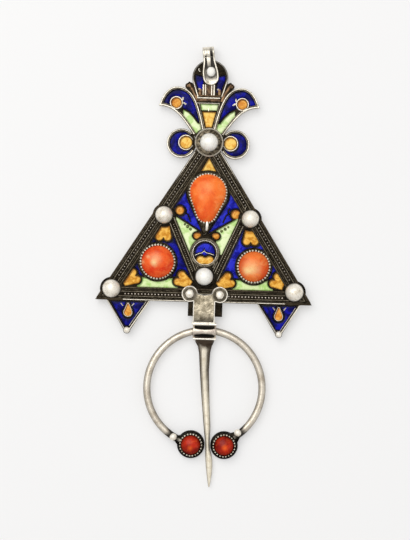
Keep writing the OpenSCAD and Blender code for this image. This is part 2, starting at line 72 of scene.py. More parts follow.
class Value:
    def __init__(self, paint, socket):
        self.paint = paint
        self.socket = socket

    def maths(self, operation, *parts):
        return self.paint.node("ShaderNodeMath", {"operation": operation}, dict(enumerate(parts)))

    def __add__(self, other):
        return self.maths("ADD", self, other)

    def __mul__(self, other):
        return self.maths("MULTIPLY", self, other)

    def __sub__(self, other):
        return self.maths("SUBTRACT", self, other)

    def __rsub__(self, other):
        return self.maths("SUBTRACT", other, self)

    __radd__ = __add__
    __rmul__ = __mul__


class Paint:
    def __init__(self, name, store=bpy.data.materials, place="Object"):
        self.material = store.new(name)
        self.material.use_nodes = True
        self.tree = self.material.node_tree
        self.tree.nodes.clear()
        self.place = self.node("ShaderNodeTexCoord", output=place)
        self.mm = self.node(
            "ShaderNodeVectorMath", {"operation": "SCALE"}, {"Vector": self.place, "Scale": 1000.0})

    def node(self, kind, settings=None, inputs=None, output=0):
        made = self.tree.nodes.new(kind)
        for key, value in (settings or {}).items():
            setattr(made, key, value)
        for key, value in (inputs or {}).items():
            if isinstance(value, Value):
                self.tree.links.new(value.socket, made.inputs[key])
            else:
                made.inputs[key].default_value = ink(value) if isinstance(value, str) else value
        return Value(self, made.outputs[output]) if len(made.outputs) else None

    def shade(self):
        # the number that each corner of the mesh carries
        return self.node("ShaderNodeAttribute", {"attribute_name": "shade"}, None, "Fac")

    def noise(self, scale, detail=3.0, rough=0.55, where=None, warp=0.0):
        return self.node("ShaderNodeTexNoise", None, {
            "Vector": where or self.mm, "Scale": scale, "Detail": detail,
            "Roughness": rough, "Distortion": warp}, "Fac")

    def cells(self, scale):
        return self.node("ShaderNodeTexVoronoi", None, {"Vector": self.mm, "Scale": scale}, "Distance")

    def between(self, value, low, high):
        return self.node(
            "ShaderNodeMapRange", {"interpolation_type": "SMOOTHSTEP"},
            {"Value": value, "From Min": low, "From Max": high}, "Result")

    def mix(self, share, first, second):
        return self.node("ShaderNodeMix", {"data_type": "RGBA"}, {0: share, 6: first, 7: second}, 2)

    def bump(self, height, depth):
        return self.node(
            "ShaderNodeBump", None, {"Strength": 1.0, "Distance": depth / 1000, "Height": height}, "Normal")

    def finish(self, colour, rough, normal=None, constants=None):
        inputs = {"Base Color": colour, "Roughness": rough, **(constants or {})}
        if normal:
            inputs["Normal"] = normal
        shader = self.node("ShaderNodeBsdfPrincipled", None, inputs)
        self.node("ShaderNodeOutputMaterial", None, {"Surface": shader})
        return self.material


# Shapes are gathered as points and faces in millimetres, then made into one object.


class Shape:
    def __init__(self):
        self.points = []
        self.faces = []
        self.values = []

    def add(self, made, value=0.0):
        # value: how dark with soot and painted shade, or for glass how far in from its painted edge
        # shadow; one number, one for each point of a repeated profile, or a function of the point
        points, faces = made
        start = len(self.points)
        self.points.extend(tuple(float(c) for c in p) for p in points)
        self.faces.extend(tuple(start + i for i in face) for face in faces)
        if callable(value):
            value = [value(p) for p in points]
        elif np.isscalar(value):
            value = [value]
        self.values.extend(list(value) * (len(points) // len(value)))
        return self

    def run(self, line, profile, value=0.0, closed=False, both=False):
        # a bar along the line, or along it and its mirror image
        for s in (-1, 1) if both else (1,):
            self.add(sweep(mirrored(line, s), profile, closed), value)
        return self

    def wire(self, line, width, height, value=0.0, sideSootAndShade=0, start=0.25, foot=0.15, **how):
        # a half-round bar, darkened low on its sides with soot and painted shade as far as asked
        bar = halfRound(width, height, foot)
        if sideSootAndShade:
            value = [value + more for more in sootAndShadeDownSides(bar, sideSootAndShade, start)]
        return self.run(line, bar, value, **how)

    def piece(self, name, look, sharp=35, stands=(), body="brooch"):
        material, slot = paints[look]
        mesh = bpy.data.meshes.new(name)
        mesh.from_pydata(inFrame(self.points).tolist(), [], self.faces)
        mesh.update()
        mesh.attributes.new("shade", "FLOAT", "POINT").data.foreach_set("value", self.values)
        mesh.shade_smooth()
        mesh.set_sharp_from_angle(angle=math.radians(sharp))
        mesh.materials.append(material)
        made = bpy.data.objects.new(name, mesh)
        bpy.context.scene.collection.objects.link(made)
        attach(made, body)
        if stands:
            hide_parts(*stands)


def unit(v):
    return v / max(np.linalg.norm(v), 1e-9)


def fullTurn(count):
    return [2 * math.pi * k / count for k in range(count)]


def walls(size, count, closed=False):
    # the faces between that many rows of so many points each
    faces = []
    for i in range(count if closed else count - 1):
        a, b = i * size, (i + 1) % count * size
        for k in range(size):
            m = (k + 1) % size
            faces.append((a + k, a + m, b + m, b + k))
    return faces


def caps(size, count):
    last = (count - 1) * size
    return [tuple(range(size - 1, -1, -1)), tuple(range(last, last + size))]


def sweep(path, profile, closed=False, sharpest=2.0):
    # profile: (across, up) points counter-clockwise, or a function that gives them at each step
    path = np.asarray(path, float)
    count = len(path)
    points = []
    for i in range(count):
        before = path[i - 1] if closed or i else path[i]
        after = path[(i + 1) % count] if closed or i < count - 1 else path[i]
        back, on = path[i] - before, after - path[i]
        if not np.any(back):
            back = on
        if not np.any(on):
            on = back
        back, on = unit(back), unit(on)
        along = unit(back + on)
        across = unit(np.cross(along, (0, 0, 1)))
        up = np.cross(across, along)
        stretch = min(sharpest, 1 / max(0.2, float(np.dot(along, on))))
        shape = profile(i) if callable(profile) else profile
        points.extend(path[i] + across * a * stretch + up * u for a, u in shape)
    size = len(points) // count
    faces = walls(size, count, closed) + ([] if closed else caps(size, count))
    return points, [(face[0], *face[:0:-1]) for face in faces]  # turned to face outwards


def roundBar(across, sides=8, up=None):
    return [(across * math.cos(t), (up or across) * math.sin(t)) for t in fullTurn(sides)]


def halfRound(width, height, foot=0.15, steps=5):
    turns = [math.pi * k / steps for k in range(steps + 1)]
    arch = [(width / 2 * math.cos(t), height * math.sin(t)) for t in turns]
    return [(width / 2, -foot)] + arch + [(-width / 2, -foot)]


def sootAndShadeDownSides(profile, depth=0.8, start=0.25):
    # soot and painted shade for a swept profile: none on top and more down its sides
    top = max(up for _, up in profile)
    return [depth * min(1, max(0, 1 - up / top - start) / (1 - start)) for _, up in profile]


def lathe(centre, profile, sides=32):
    # profile: (radius, z) from the foot to the top; an end on the axis closes to a point
    points, faces, rings = [], [], []
    for radius, z in profile:
        start = len(points)
        if radius < 1e-6:
            points.append((centre[0], centre[1], z))
            rings.append([start] * sides)
        else:
            points.extend((centre[0] + a, centre[1] + b, z) for a, b in roundBar(radius, sides))
            rings.append(list(range(start, start + sides)))
    for low, high in zip(rings, rings[1:]):
        for k in range(sides):
            m = (k + 1) % sides
            faces.append(tuple(dict.fromkeys((low[k], low[m], high[m], high[k]))))
    for ring in (rings[0][::-1], rings[-1]):
        if len(set(ring)) > 1:
            faces.append(tuple(ring))
    return points, faces


def ball(centre, radius, flat=1.0, sides=12, rings=7):
    turns = [math.pi * (k / (rings - 1) - 0.5) for k in range(rings)]
    return lathe(centre, [(radius * math.cos(t) if 0 < k < rings - 1 else 0,
                           centre[2] + radius * flat * math.sin(t)) for k, t in enumerate(turns)], sides)


def arc(centre, radius, start, stop, z, step=6):
    count = max(2, round(abs(stop - start) / step))
    turns = [math.radians(start + (stop - start) * k / count) for k in range(count + 1)]
    return [(centre[0] + radius * math.cos(t), centre[1] + radius * math.sin(t), z) for t in turns]


def circle(centre, radius, z, step=6):
    return arc(centre, radius, 0, 360, z, step)[:-1]


def cubic(p, q, r, s, count=12):
    p, q, r, s = (np.asarray(v, float) for v in (p, q, r, s))
    return [tuple((1 - t) ** 3 * p + 3 * (1 - t) ** 2 * t * q + 3 * (1 - t) * t * t * r + t ** 3 * s)
            for t in (k / count for k in range(count + 1))]


def lifted(points, z):
    return [(p[0], p[1], z) for p in points]


def mirrored(points, s):
    return points if s > 0 else [(-p[0], *p[1:]) for p in points][::-1]


def insetLine(points, inset):
    # the same open line moved to its left, seen along it
    points = np.asarray(points, float)
    made = []
    for i, p in enumerate(points):
        along = unit(points[min(i + 1, len(points) - 1)] - points[max(i - 1, 0)])
        made.append(p + inset * np.array((-along[1], along[0])))
    return made


def paced(path, step, closed=False, count=None):
    # the path again with points a step apart, a whole number of them, or just so many
    path = np.asarray(path, float)
    if closed:
        path = np.vstack([path, path[:1]])
    reach = np.concatenate([[0], np.cumsum(np.linalg.norm(np.diff(path, axis=0), axis=1))])
    at = np.linspace(0, reach[-1], (count or max(2, round(reach[-1] / step))) + 1)
    made = np.stack([np.interp(at, reach, path[:, k]) for k in range(3)], 1)
    return made[:-1] if closed else made


def bearings(line, closed=False):
    # each point of a level line with the directions along it and across it
    count = len(line)
    for i, p in enumerate(line):
        along = unit(line[(i + 1) % count] - p if closed or i < count - 1 else p - line[i - 1])
        yield i, p, along, unit(np.cross(along, (0, 0, 1)))


def twist(path, radius, pitch, sides=5, steps=8, thick=0.62):
    # a closed rope of two strands wound round each other
    count = len(paced(path, pitch / steps, True))
    line = paced(path, (count * pitch / steps) / (round(count / steps) * steps), True)
    shape = Shape()
    reach = radius * (1 - thick) * 1.4
    for strand in (0, 0.5):
        wound = []
        for i, p, _, across in bearings(line, True):
            t = 2 * math.pi * (i / steps + strand)
            wound.append(p + across * reach * math.cos(t) + np.array((0, 0, reach * math.sin(t))))
        shape.add(sweep(wound, roundBar(radius * thick, sides), True))
    return shape.points, shape.faces


def beads(path, step, radius, clear):
    shape = Shape()
    for _, p, along, across in bearings(paced(path, step)):
        if not clear(p):
            points, faces = ball((0, 0, 0), radius, 1.0, 8, 5)
            shape.add(([p + across * a + along * b + (0, 0, c) for a, b, c in points], faces))
    return shape.points, shape.faces


def uneven(made, amount, scale, seed):
    # a soft hand-made unevenness
    points, faces = made
    away = [noise.noise_vector(Vector(p) * scale + Vector((seed, 0, 0))) for p in points]
    return [np.array(p) + amount * np.array(v) for p, v in zip(points, away)], faces


def freeEdges(faces):
    # the edges that only one face has, in that face's direction
    used = {}
    for face in faces:
        for a, b in zip(face, face[1:] + face[:1]):
            if (b, a) in used:
                del used[(b, a)]
            else:
                used[(a, b)] = True
    return list(used)


def outerLoops(node, level):
    # the outlines of a CAD node's flat face at that height, in the plaque's millimetres
    mesh = frame["nodes"][node].data
    keys, places = {}, []

    def key(i):
        p = mesh.vertices[i].co * 1000
        k = (round(p.x, 3), round(p.y, 3))
        if k not in keys:
            keys[k] = len(places)
            places.append((p.x, p.y + baseY))
        return keys[k]

    follow = dict(freeEdges(
        [key(i) for i in face.vertices] for face in mesh.polygons
        if all(abs(mesh.vertices[i].co.z * 1000 - level) < 0.005 for i in face.vertices)))
    loops = []
    while follow:
        loop, at = [], min(follow)
        while at in follow:
            loop.append(places[at])
            at = follow.pop(at)
        loops.append(np.array(loop))
    return loops


def distanceTo(loops, points):
    nearest = np.full(len(points), 1e9)
    for loop in loops:
        for a, b in zip(loop, np.roll(loop, -1, axis=0)):
            side = b - a
            t = np.clip(((points - a) @ side) / max(side @ side, 1e-12), 0, 1)
            nearest = np.minimum(nearest, np.linalg.norm(points - a - t[:, None] * side, axis=1))
    return nearest


def inside(loops, points):
    odd = np.zeros(len(points), bool)
    for loop in loops:
        for a, b in zip(loop, np.roll(loop, -1, axis=0)):
            crosses = (a[1] > points[:, 1]) != (b[1] > points[:, 1])
            if crosses.any():
                x = a[0] + (points[:, 1] - a[1]) / (b[1] - a[1] or 1e-12) * (b[0] - a[0])
                odd ^= crosses & (points[:, 0] < x)
    return odd


def pool(loops, foot, heightAt, step):
    # a closed slab with the loops' outline, whose upper face has its height worked out at each point
    edge, links = [], []
    for loop in loops:
        line = paced(lifted(loop, 0), step, True)[:, :2] if len(loop) < 4 else loop
        start = len(edge)
        edge.extend(line)
        links.extend((start + i, start + (i + 1) % len(line)) for i in range(len(line)))
    edge = np.array(edge)
    low, high = edge.min(0), edge.max(0)
    grid = np.array([(x + (row % 2) * step / 2, y)
                     for row, y in enumerate(np.arange(low[1], high[1], step * 0.87))
                     for x in np.arange(low[0], high[0], step)])
    if len(grid):
        grid = grid[inside(loops, grid)]
    if len(grid):
        grid = grid[distanceTo(loops, grid) > step * 0.45]
    every = np.vstack([edge, grid]) if len(grid) else edge
    places, _, faces, *_ = delaunay_2d_cdt([Vector(p) for p in every], links, [], 0, 1e-7)
    places = np.array([tuple(p) for p in places])
    keep = inside(loops, np.array([places[list(f)].mean(0) for f in faces]))
    faces = [tuple(f) for f, k in zip(faces, keep) if k]
    count = len(places)
    heights = heightAt(places, distanceTo(loops, places))
    points = [(*p, z) for p, z in zip(places, heights)] + [(*p, foot) for p in places]
    under = [tuple(count + i for i in reversed(f)) for f in faces]
    return points, faces + under + [(b, a, count + a, count + b) for a, b in freeEdges(faces)]


# Paints. Every one works in millimetres of the object's own space, and each look is a row.


def rowsOf(columns, table):
    return {name: dict(zip(columns, row)) for name, row in table.items()}


silverLooks = rowsOf(
    ("bright", "dark", "sootAndShade", "worn", "cloud", "rough", "metal", "relief", "pits"), {
        "bright": ("#fbf4e6", "#b0a490", "#1d1812", (0.26, 0.46), 0.9, (0.28, 0.42), 0.7, 0.03),
        "rim": ("#efe7d6", "#93876f", "#1d1812", (0.28, 0.52), 0.7, (0.3, 0.45), 0.7, 0.03),
        "belt": ("#ebdfce", "#a3958a", "#15100a", (0.3, 0.62), 0.6, (0.32, 0.46), 0.8, 0.03),
        "pearl": ("#fff8ea", "#c8b899", "#3c3326", (0.28, 0.52), 0.55, (0.42, 0.56), 0.3, 0.06),
        "white": ("#fffdf6", "#ebe2cf", "#3c3326", (0.28, 0.52), 0.55, (0.42, 0.56), 0.1, 0.06),
        "cream": ("#fff6e2", "#a8946f", "#2a2014", (0.34, 0.56), 0.9, (0.35, 0.5), 0.4, 0.03),
        "grey": ("#a39a86", "#51493b", "#1d1812", (0.34, 0.6), 0.9, (0.34, 0.5), 0.8, 0.03),
        "dim": ("#766c5a", "#231e17", "#1d1812", (0.38, 0.62), 1.3, (0.3, 0.5), 1.0, 0.03),
        "black": ("#2e2922", "#0c0a07", "#1d1812", (0.38, 0.72), 0.8, (0.26, 0.45), 1.0, 0.03),
        "ring": ("#eae0cf", "#b9ac98", "#2e281f", (0.3, 0.6), 0.35, (0.3, 0.4), 0.65, 0.02),
        "blade": ("#fff5e0", "#dccfb4", "#37291a", (0.3, 0.6), 0.45, (0.32, 0.42), 0.55, 0.03),
        "strap": ("#c2b69e", "#776c56", "#1d1812", (0.34, 0.6), 0.55, (0.3, 0.46), 0.9, 0.05, (1.3, 0.5)),
        "copper": ("#a07d5a", "#3f2b1c", "#1e120b", (0.35, 0.6), 1.0, (0.4, 0.6), 0.6, 0.03),
        "olive": ("#6f7a3c", "#2f3617", "#1d1812", (0.35, 0.6), 1.2, (0.3, 0.5), 0.3, 0.03)})


def silverPaint(name, look):
    # bright where it is worn, clouded elsewhere, and dark with soot and painted shade where its shade value
    # says so
    paint = Paint(name + "_silver")
    cloud = paint.noise(look["cloud"], 4.0, 0.6)
    fine = paint.noise(look["cloud"] * 6, 3.0, 0.6)
    worn = paint.between(cloud * 0.65 + fine * 0.35, *look["worn"])
    sootAndShade = paint.between(paint.shade() + (fine - 0.5) * 0.35, 0.06, 0.95)
    colour = paint.mix(sootAndShade, paint.mix(worn, look["dark"], look["bright"]), look["sootAndShade"])
    smooth, dull = look["rough"]
    scale, pitted = look.get("pits", (2.2, 0.2))
    pits = paint.between(paint.cells(scale), 0.0, 0.35)
    height = paint.noise(9.0, 2.0, 0.5) * 0.3 + pits * pitted + cloud * 0.5
    return paint.finish(
        colour, dull + worn * (smooth - dull) + fine * 0.08, paint.bump(height, look["relief"]),
        {"Metallic": look["metal"]})


plaqueLook = {"back": ("#7f7666", "#b9b1a1"), "levels": (  # from and to what height, its two colours, rubbed
    (1.3, 1.45, "#a69c88", "#7f7666", 0.5), (2.7, 2.95, "#14110c", "#30291f", 1.0),
    (3.2, 3.33, "#30291f", "#40382c", 1.0), (3.5, 3.6, "#14110c", "#4c4436", 1.0))}


def plaquePaint(look):
    # plain on the back, black in the hollows and lighter where hands have rubbed it
    paint = Paint("plaque_silver")
    height = paint.node("ShaderNodeSeparateXYZ", None, {0: paint.mm}, "Z")
    cloud = paint.noise(0.55, 4.0, 0.6)
    fine = paint.noise(4.5, 3.0, 0.6)
    rubbed = paint.between(cloud * 0.5 + fine * 0.5, 0.42, 0.6)
    colour = paint.mix(paint.between(cloud * 0.6 + fine * 0.4, 0.3, 0.7), *look["back"])
    for low, high, dark, light, share in look["levels"]:
        colour = paint.mix(paint.between(height, low, high), colour, paint.mix(rubbed * share, dark, light))
    bump = paint.bump(fine * 0.3 + paint.noise(0.9, 2.0, 0.4) * 0.7, 0.06)
    return paint.finish(colour, 0.34 + fine * 0.22, bump, {"Metallic": 1.0})


glazeLooks = rowsOf(
    ("deep", "lit", "speck", "shade", "cloud", "patches", "specks", "edge", "edgeWidth", "relief"), {
        "deep_blue": ("#040450", "#12149a", "#2a30c0", "#020210", 0.32, (0.42, 0.62), 0.6, 0.9, 0.8, 0.12),
        "lit_blue": ("#0c0f88", "#2c32cc", "#7c84f0", "#040420", 0.45, (0.4, 0.6), 0.55, 0.9, 0.8, 0.16),
        "green": ("#b6de7e", "#e6f7b6", "#fbffe2", "#5d7c30", 0.5, (0.36, 0.56), 0.5, 0.75, 0.6, 0.1),
        "pale_green": ("#c2e390", "#eefac6", "#fffff0", "#6d8a40", 0.5, (0.36, 0.56), 0.5, 0.7, 0.5, 0.1),
        "amber": ("#d08a26", "#fbc258", "#fee29c", "#74440f", 0.8, (0.38, 0.6), 0.35, 0.85, 0.7, 0.12),
        "yellow": ("#e6a640", "#ffd470", "#ffeaae", "#7e4f14", 0.8, (0.38, 0.6), 0.35, 0.8, 0.6, 0.12),
        "orange": ("#d4862c", "#f2b052", "#fbd68c", "#7e4210", 0.9, (0.38, 0.6), 0.35, 0.8, 0.7, 0.12)})


def glazePaint(name, look):
    # glass fused in its cell: painted shadow where it meets the wire, with patches, specks and a few pits
    paint = Paint(name + "_enamel")
    patch = paint.between(paint.noise(look["cloud"], 3.0, 0.55, warp=0.5), *look["patches"])
    specks = paint.between(paint.noise(3.2, 2.0, 0.6), 0.66, 0.74) * look["specks"]
    colour = paint.mix(specks, paint.mix(patch, look["deep"], look["lit"]), look["speck"])
    # painted shadow along the wires, in the look's shade colour
    edge = (1 - paint.between(paint.shade(), 0.0, look["edgeWidth"])) * look["edge"]
    pits = 1 - paint.between(paint.cells(1.6), 0.03, 0.14)
    height = paint.noise(0.9, 2.0, 0.5) - pits * 0.35
    return paint.finish(
        paint.mix(edge, colour, look["shade"]), 0.2 + paint.noise(2.0, 2.0) * 0.18,
        paint.bump(height, look["relief"]),
        {"Coat Weight": 0.04, "Coat Roughness": 0.1, "Specular IOR Level": 0.06})


coralLooks = rowsOf(  # patches of painted glow and highlight: each a place, how far they reach and how strong they are
    ("deep", "lit", "pale", "veinAndShade", "heart",
     "cloud", "clouds", "pales", "paleShare", "shift", "edge", "relief", "hearts"), {
        "drop_coral_stone": (
            "#ee561a", "#ff8032", "#ffa25c", "#c23a10", "#ffae64", 0.16, (0.36, 0.6), (0.5, 0.8), 0.7,
            (4.0, 1.0, 0.0), 0.25, 0.12, (((0.6, 34.6), 2.4, 0.5), ((-1.6, 31.4), 1.3, 0.45))),
        "left_coral_stone": (
            "#e23c10", "#f9682a", "#fb9450", "#b02a0c", "#ffd092", 0.22, (0.38, 0.6), (0.48, 0.75), 0.6,
            (9.0, 3.0, 0.0), 0.3, 0.16, (((-14.7, 12.6), 2.8, 0.55), ((-15.2, 11.6), 1.5, 0.95),
                                         ((-17.0, 13.2), 0.9, 0.6), ((-18.6, 11.6), 1.0, 0.6))),
        "right_coral_stone": (
            "#e65618", "#fb8236", "#fda25c", "#a83210", "#ffd494", 0.22, (0.36, 0.6), (0.48, 0.75), 0.6,
            (2.0, 7.0, 0.0), 0.4, 0.16, (((14.0, 10.6), 3.7, 0.75), ((12.9, 9.9), 1.9, 1.0))),
        "ring_coral_stone": (
            "#8e1204", "#c62c0e", "#f06420", "#3c0703", "#ff6a22", 0.3, (0.36, 0.6), (0.52, 0.75), 0.6,
            (1.0, 5.0, 0.0), 0.6, 0.12, (((-2.7, -43.6), 1.1, 0.6), ((7.7, -43.3), 1.3, 0.85)))})


def coralPaint(name, look):
    # polished coral: soft clouds of colour, pale blotches, a fine grain and a few growth pores, with painted
    # glow and highlight in patches and painted shade towards the stone's rim
    paint = Paint(name)
    shift = paint.node("ShaderNodeVectorMath", {"operation": "ADD"}, {0: paint.mm, 1: look["shift"]})
    cloud = paint.noise(look["cloud"], 3.0, 0.5, shift, 0.6)
    colour = paint.mix(paint.between(cloud, *look["clouds"]), look["deep"], look["lit"])
    pale = paint.between(paint.noise(look["cloud"] * 1.7, 4.0, 0.6, shift, 1.0), *look["pales"])
    colour = paint.mix(pale * look["paleShare"], colour, look["pale"])
    # painted glow and highlight, patch by patch
    for (x, y), reach, share in look["hearts"]:
        near = paint.node("ShaderNodeVectorMath", {"operation": "MULTIPLY_ADD"}, {
            0: paint.mm, 1: (1, 1, 0), 2: (-x, baseY - y, 0)})
        away = paint.node("ShaderNodeVectorMath", {"operation": "LENGTH"}, {0: near}, "Value")
        glow = (1 - paint.between(away + cloud * reach * 0.9, reach * 0.35, reach * 1.5)) * share
        colour = paint.mix(glow, colour, look["heart"])
    grain = paint.noise(3.0, 4.0, 0.65, shift, 0.4)
    pores = 1 - paint.between(paint.cells(1.9), 0.02, 0.1)
    # painted shade darkening the stone towards its rim
    edge = paint.between(paint.shade(), 0.5, 1.05) * look["edge"]
    for share in (paint.between(grain, 0.52, 0.7) * 0.35, pores * 0.5, edge):
        colour = paint.mix(share, colour, look["veinAndShade"])
    return paint.finish(
        colour, 0.24 + grain * 0.2, paint.bump(cloud * 0.7 + grain * 0.25 - pores * 0.25, look["relief"]),
        {"Subsurface Weight": 0.12, "Subsurface Scale": 0.001, "Coat Roughness": 0.14, "Coat Weight": 0.08,
         "Specular IOR Level": 0.16})


# each look's material, and a slot name kept beside it
paints = {name: (silverPaint(name, look), "silver") for name, look in silverLooks.items()}
for name, look in glazeLooks.items():
    tint = next((tint for tint in ("blue", "green") if tint in name), "amber")
    paints[name] = glazePaint(name, look), tint + "_enamel"
paints.update({name: (coralPaint(name, look), "ring_coral" if "ring" in name else "coral")
               for name, look in coralLooks.items()})
print("paints mixed")


# Enamel: each cell's glass is poured again with a soft surface inside the outline of its node.

glassLook = {"level": 2.8, "foot": 2.14, "edge": 2.72, "rise": 0.17, "reach": 0.9, "wave": 0.05, "grid": 0.3,
             "shadowShift": (-0.2, 0.24), "shadowWidth": 0.5}
cellGlazes = (  # by the end of the node's name; the first that fits counts
    ("yellow", ("lobe_disc", "round_bowl", "apex_drop", "crest_yellow")),
    ("orange", ("petal_disc", "arm_leaf", "upper_dot", "point_drop")),
    ("lit_blue", ("upper_blue", "round_blue", "right_field_blue", "right_corner_blue")),
    ("green", ("field_green",)), ("pale_green", ("green",)), ("deep_blue", ("blue",)), ("amber", ("",)))


def pourGlass(node, look):
    def heightAt(places, away):
        swell = 1 - np.exp(-away / look["reach"] * 2.2)
        waves = [noise.noise(Vector((x * 0.8, y * 0.8, 3.7))) for x, y in places]
        return look["edge"] + look["rise"] * swell + look["wave"] * np.array(waves) * swell

    loops = outerLoops(node, look["level"])
    made = pool(loops, look["foot"], heightAt, look["grid"])
    places = np.array(made[0])[:, :2]
    # painted shadow: measured from the wires and from points moved up and left, so it reaches further in on
    # the upper-left side
    shifted = places + look["shadowShift"]
    away = np.minimum(distanceTo(loops, places), distanceTo(loops, shifted) * inside(loops, shifted))
    kind = next(kind for kind, ends in cellGlazes if node.endswith(ends))
    deep = np.clip(away / look["shadowWidth"], 0, 1)
    Shape().add(made, deep).piece(node + "_glass", kind, 60, (node,))


cadSlots = {row["node"]: row["material_slot"] for row in frame["record"]["subparts"]}
for node in sorted(frame["nodes"]):
    if "enamel" in cadSlots[node]:
        pourGlass(node, glassLook)
print("enamel poured")


# The plaque's own silver stays as modelled and gets its patina.

plaqueSilver = plaquePaint(plaqueLook)
for slot in frame["nodes"]["plaque"].material_slots:
    slot.material = plaqueSilver


# Border: a bright wire on the edge, dim ridges and a line of tiny beads between them.

border = {"top": 45.6, "half": 32.6, "run": 0.632, "z": 3.05, "bead": 0.26, "beadInset": 1.95,
          "beadStep": 1.0, "beadZ": 3.12, "wires": {  # inset, width and height
              "grey": ((1.26, 0.26, 0.34), (2.66, 0.26, 0.34)),
              "dim": ((0.24, 0.4, 0.34), (0.72, 0.3, 0.3), (3.22, 0.28, 0.28), (3.8, 0.32, 0.32))}}
bosses = {  # place, the dome's radius and the collar's
    "crest": (0.25, 48, 2.7, 4.1), "low": (0, 7.75, 2.6, 3.6), "left": (-12.6, 25.9, 2.6, 3.4),
    "right": (13.3, 25.4, 2.6, 3.4), "left_corner": (-27.7, 3.4, 2.7, 3.45),
    "right_corner": (27.1, 3.8, 2.7, 3.45)}


def halfAt(y, inset):
    # half the triangle's width at that height, inside its edge by the inset
    return border["half"] - inset * math.hypot(1, border["run"]) - y * border["run"]


def borderLine(inset, z):
    top = border["top"]
    return [(s * halfAt(y, inset), y, z) for s, y in ((-1, top), (-1, inset), (1, inset), (1, top))]


def underBoss(p, more=0.15):
    return any(math.hypot(p[0] - x, p[1] - y) < collar + more for x, y, _, collar in bosses.values())


for kind, rows in border["wires"].items():
    wires = Shape()
    for inset, width, height in rows:
        wires.wire(borderLine(inset, border["z"]), width, height, 0.25, 0.6)
    wires.piece(kind + "_border_wires", kind)
made = beads(borderLine(border["beadInset"], border["beadZ"]), border["beadStep"], border["bead"], underBoss)
Shape().add(made, lambda p: 0.3 if p[1] < 3 else 0.58).piece("border_beading", "belt")
hem = Shape().wire([(-24.2, 0.27, 3.04), (24.4, 0.27, 3.04)], 0.5, 0.42, 0, 0.4)
hem.wire([(halfAt(y, 0.24), y, border["z"]) for y in np.arange(35, 45.6, 1.0)], 0.42, 0.4,
         lambda p: 0.3 + 0.6 * step(p[1], 41, 35), both=True)
hem.piece("border_hem", "rim")
print("border laid")


# V strips: two rails, two short bars inside them and a finer line of beads.

innerX = 0.3
vee = {"foot": (2.85, 7), "head": (12.45, 28.8), "z": 3.03, "rail": 0.84, "width": 0.42, "height": 0.3,
       "step": 0.62, "bead": 0.19, "beadZ": 3.11, "inner": ((1.5, 1.6, 5.2, 0.34), (2.0, 2.9, 4.6, 0.34))}
rails, strip = Shape(), Shape()
for s in (-1, 1):
    foot, head = (np.array((innerX + s * x, y, vee["z"])) for x, y in (vee["foot"], vee["head"]))
    along = unit(head - foot)
    across = np.array((-along[1], along[0], 0))
    long = np.linalg.norm(head - foot)
    outside = [(k * vee["rail"], 0, long, vee["width"]) for k in (-s, s)]
    for reach, low, high, width in (*outside, *vee["inner"]):
        line = [foot + along * at + across * s * reach for at in (low, high)]
        rails.wire(line, width, vee["height"], 0.12, 0.56)
    strip.add(beads(lifted([foot, head], vee["beadZ"]), vee["step"], vee["bead"], underBoss))
rails.piece("v_rails", "grey")
strip.piece("v_beading", "grey")


# Bosses: pale domes on black stepped collars.

bossLook = {"dome": 3.3, "proud": 0.07, "uneven": 0.03,  # steps out from the collar's and the dome's radius
            "collar": ((0, 2.2), (0.02, 3.16), (-0.1, 3.3), (-0.48, 3.32), (-0.56, 3.5), (-0.68, 3.55)),
            "seat": ((-0.05, 3.55), (-0.2, 3.35)), "floor": 3.35, "ring": (4.12, 3.3),
            "ringBar": ((-0.18, -0.1), (0.18, -0.2), (0.18, 0.12), (0, 0.28), (-0.18, 0.14))}


def domeSootAndShade(deep):
    # painted shade with some soot, darkening each dome towards its foot
    return lambda p: max(0, 1 - (p[2] - bossLook["dome"]) / deep) ** 1.4


look = bossLook
domes, whiteDomes, collars, crestCollar = Shape(), Shape(), Shape(), Shape()
for count, (name, (x, y, dome, collar)) in enumerate(bosses.items()):
    profile = [(collar + d, z) for d, z in look["collar"]] + [(dome + d, z) for d, z in look["seat"]]
    turned = lathe((x, y), profile + [(0, look["floor"])], 56)
    if name == "crest":
        crestCollar.add(turned, lambda p: 0.5 * step(p[2], 3.5, 3.2))
    else:
        collars.add(turned)
    r = dome + look["proud"]
    turns = [math.pi / 2 * k / 12 for k in range(13)]
    profile = [(r * 0.985, look["dome"] - 0.3)] + [
        (r * math.cos(t) if k < 12 else 0, look["dome"] + r * math.sin(t)) for k, t in enumerate(turns)]
    made = uneven(lathe((x, y), profile, 40), look["uneven"], 0.6, count * 5.0)
    if name in ("crest", "low"):
        whiteDomes.add(made, domeSootAndShade(1.5))
    else:
        domes.add(made, domeSootAndShade(1.9))
collars.piece("boss_collars", "black")
crestCollar.piece("crest_boss_collar", "dim")
domes.piece("boss_domes", "pearl", 60)
whiteDomes.piece("middle_boss_domes", "white", 60)
line = circle(bosses["crest"], *look["ring"], 7.5)
Shape().run(line, look["ringBar"], 0.2, True).piece("crest_boss_ring", "rim")
print("bosses set")


# Corals and the bezels that hold them.

corals = {  # place, radius, seat, girdle, rise, teeth and seed
    "left_coral": ((-14.1, 11.8), 5.0, 2.16, 4.0, 1.9, 36, 3),
    "right_coral": ((14.7, 11.15), 4.7, 2.16, 4.0, 1.9, 34, 11),
    "left_tip_coral": ((-2.58, -42.8), 2.95, 1.56, 3.3, 1.5, 23, 17),
    "right_tip_coral": ((7.42, -42.8), 2.95, 1.56, 3.3, 1.5, 23, 23)}
bezel = {"out": 0.3, "tooth": (0.46, 0.6, 3.3), "over": 0.42, "rope": 0.8, "ropeZ": 3.15, "twist": (0.2, 1.0)}
drop = {"at": (0.4, 33), "r": 5.5, "end": (0.1, 26.9), "endR": 3.0, "foot": (-0.15, 20.9), "footR": 0.4,
        "seat": 2.2, "edge": 3.95, "rise": 2.7, "teeth": 46, "layers": 14, "sides": 120}


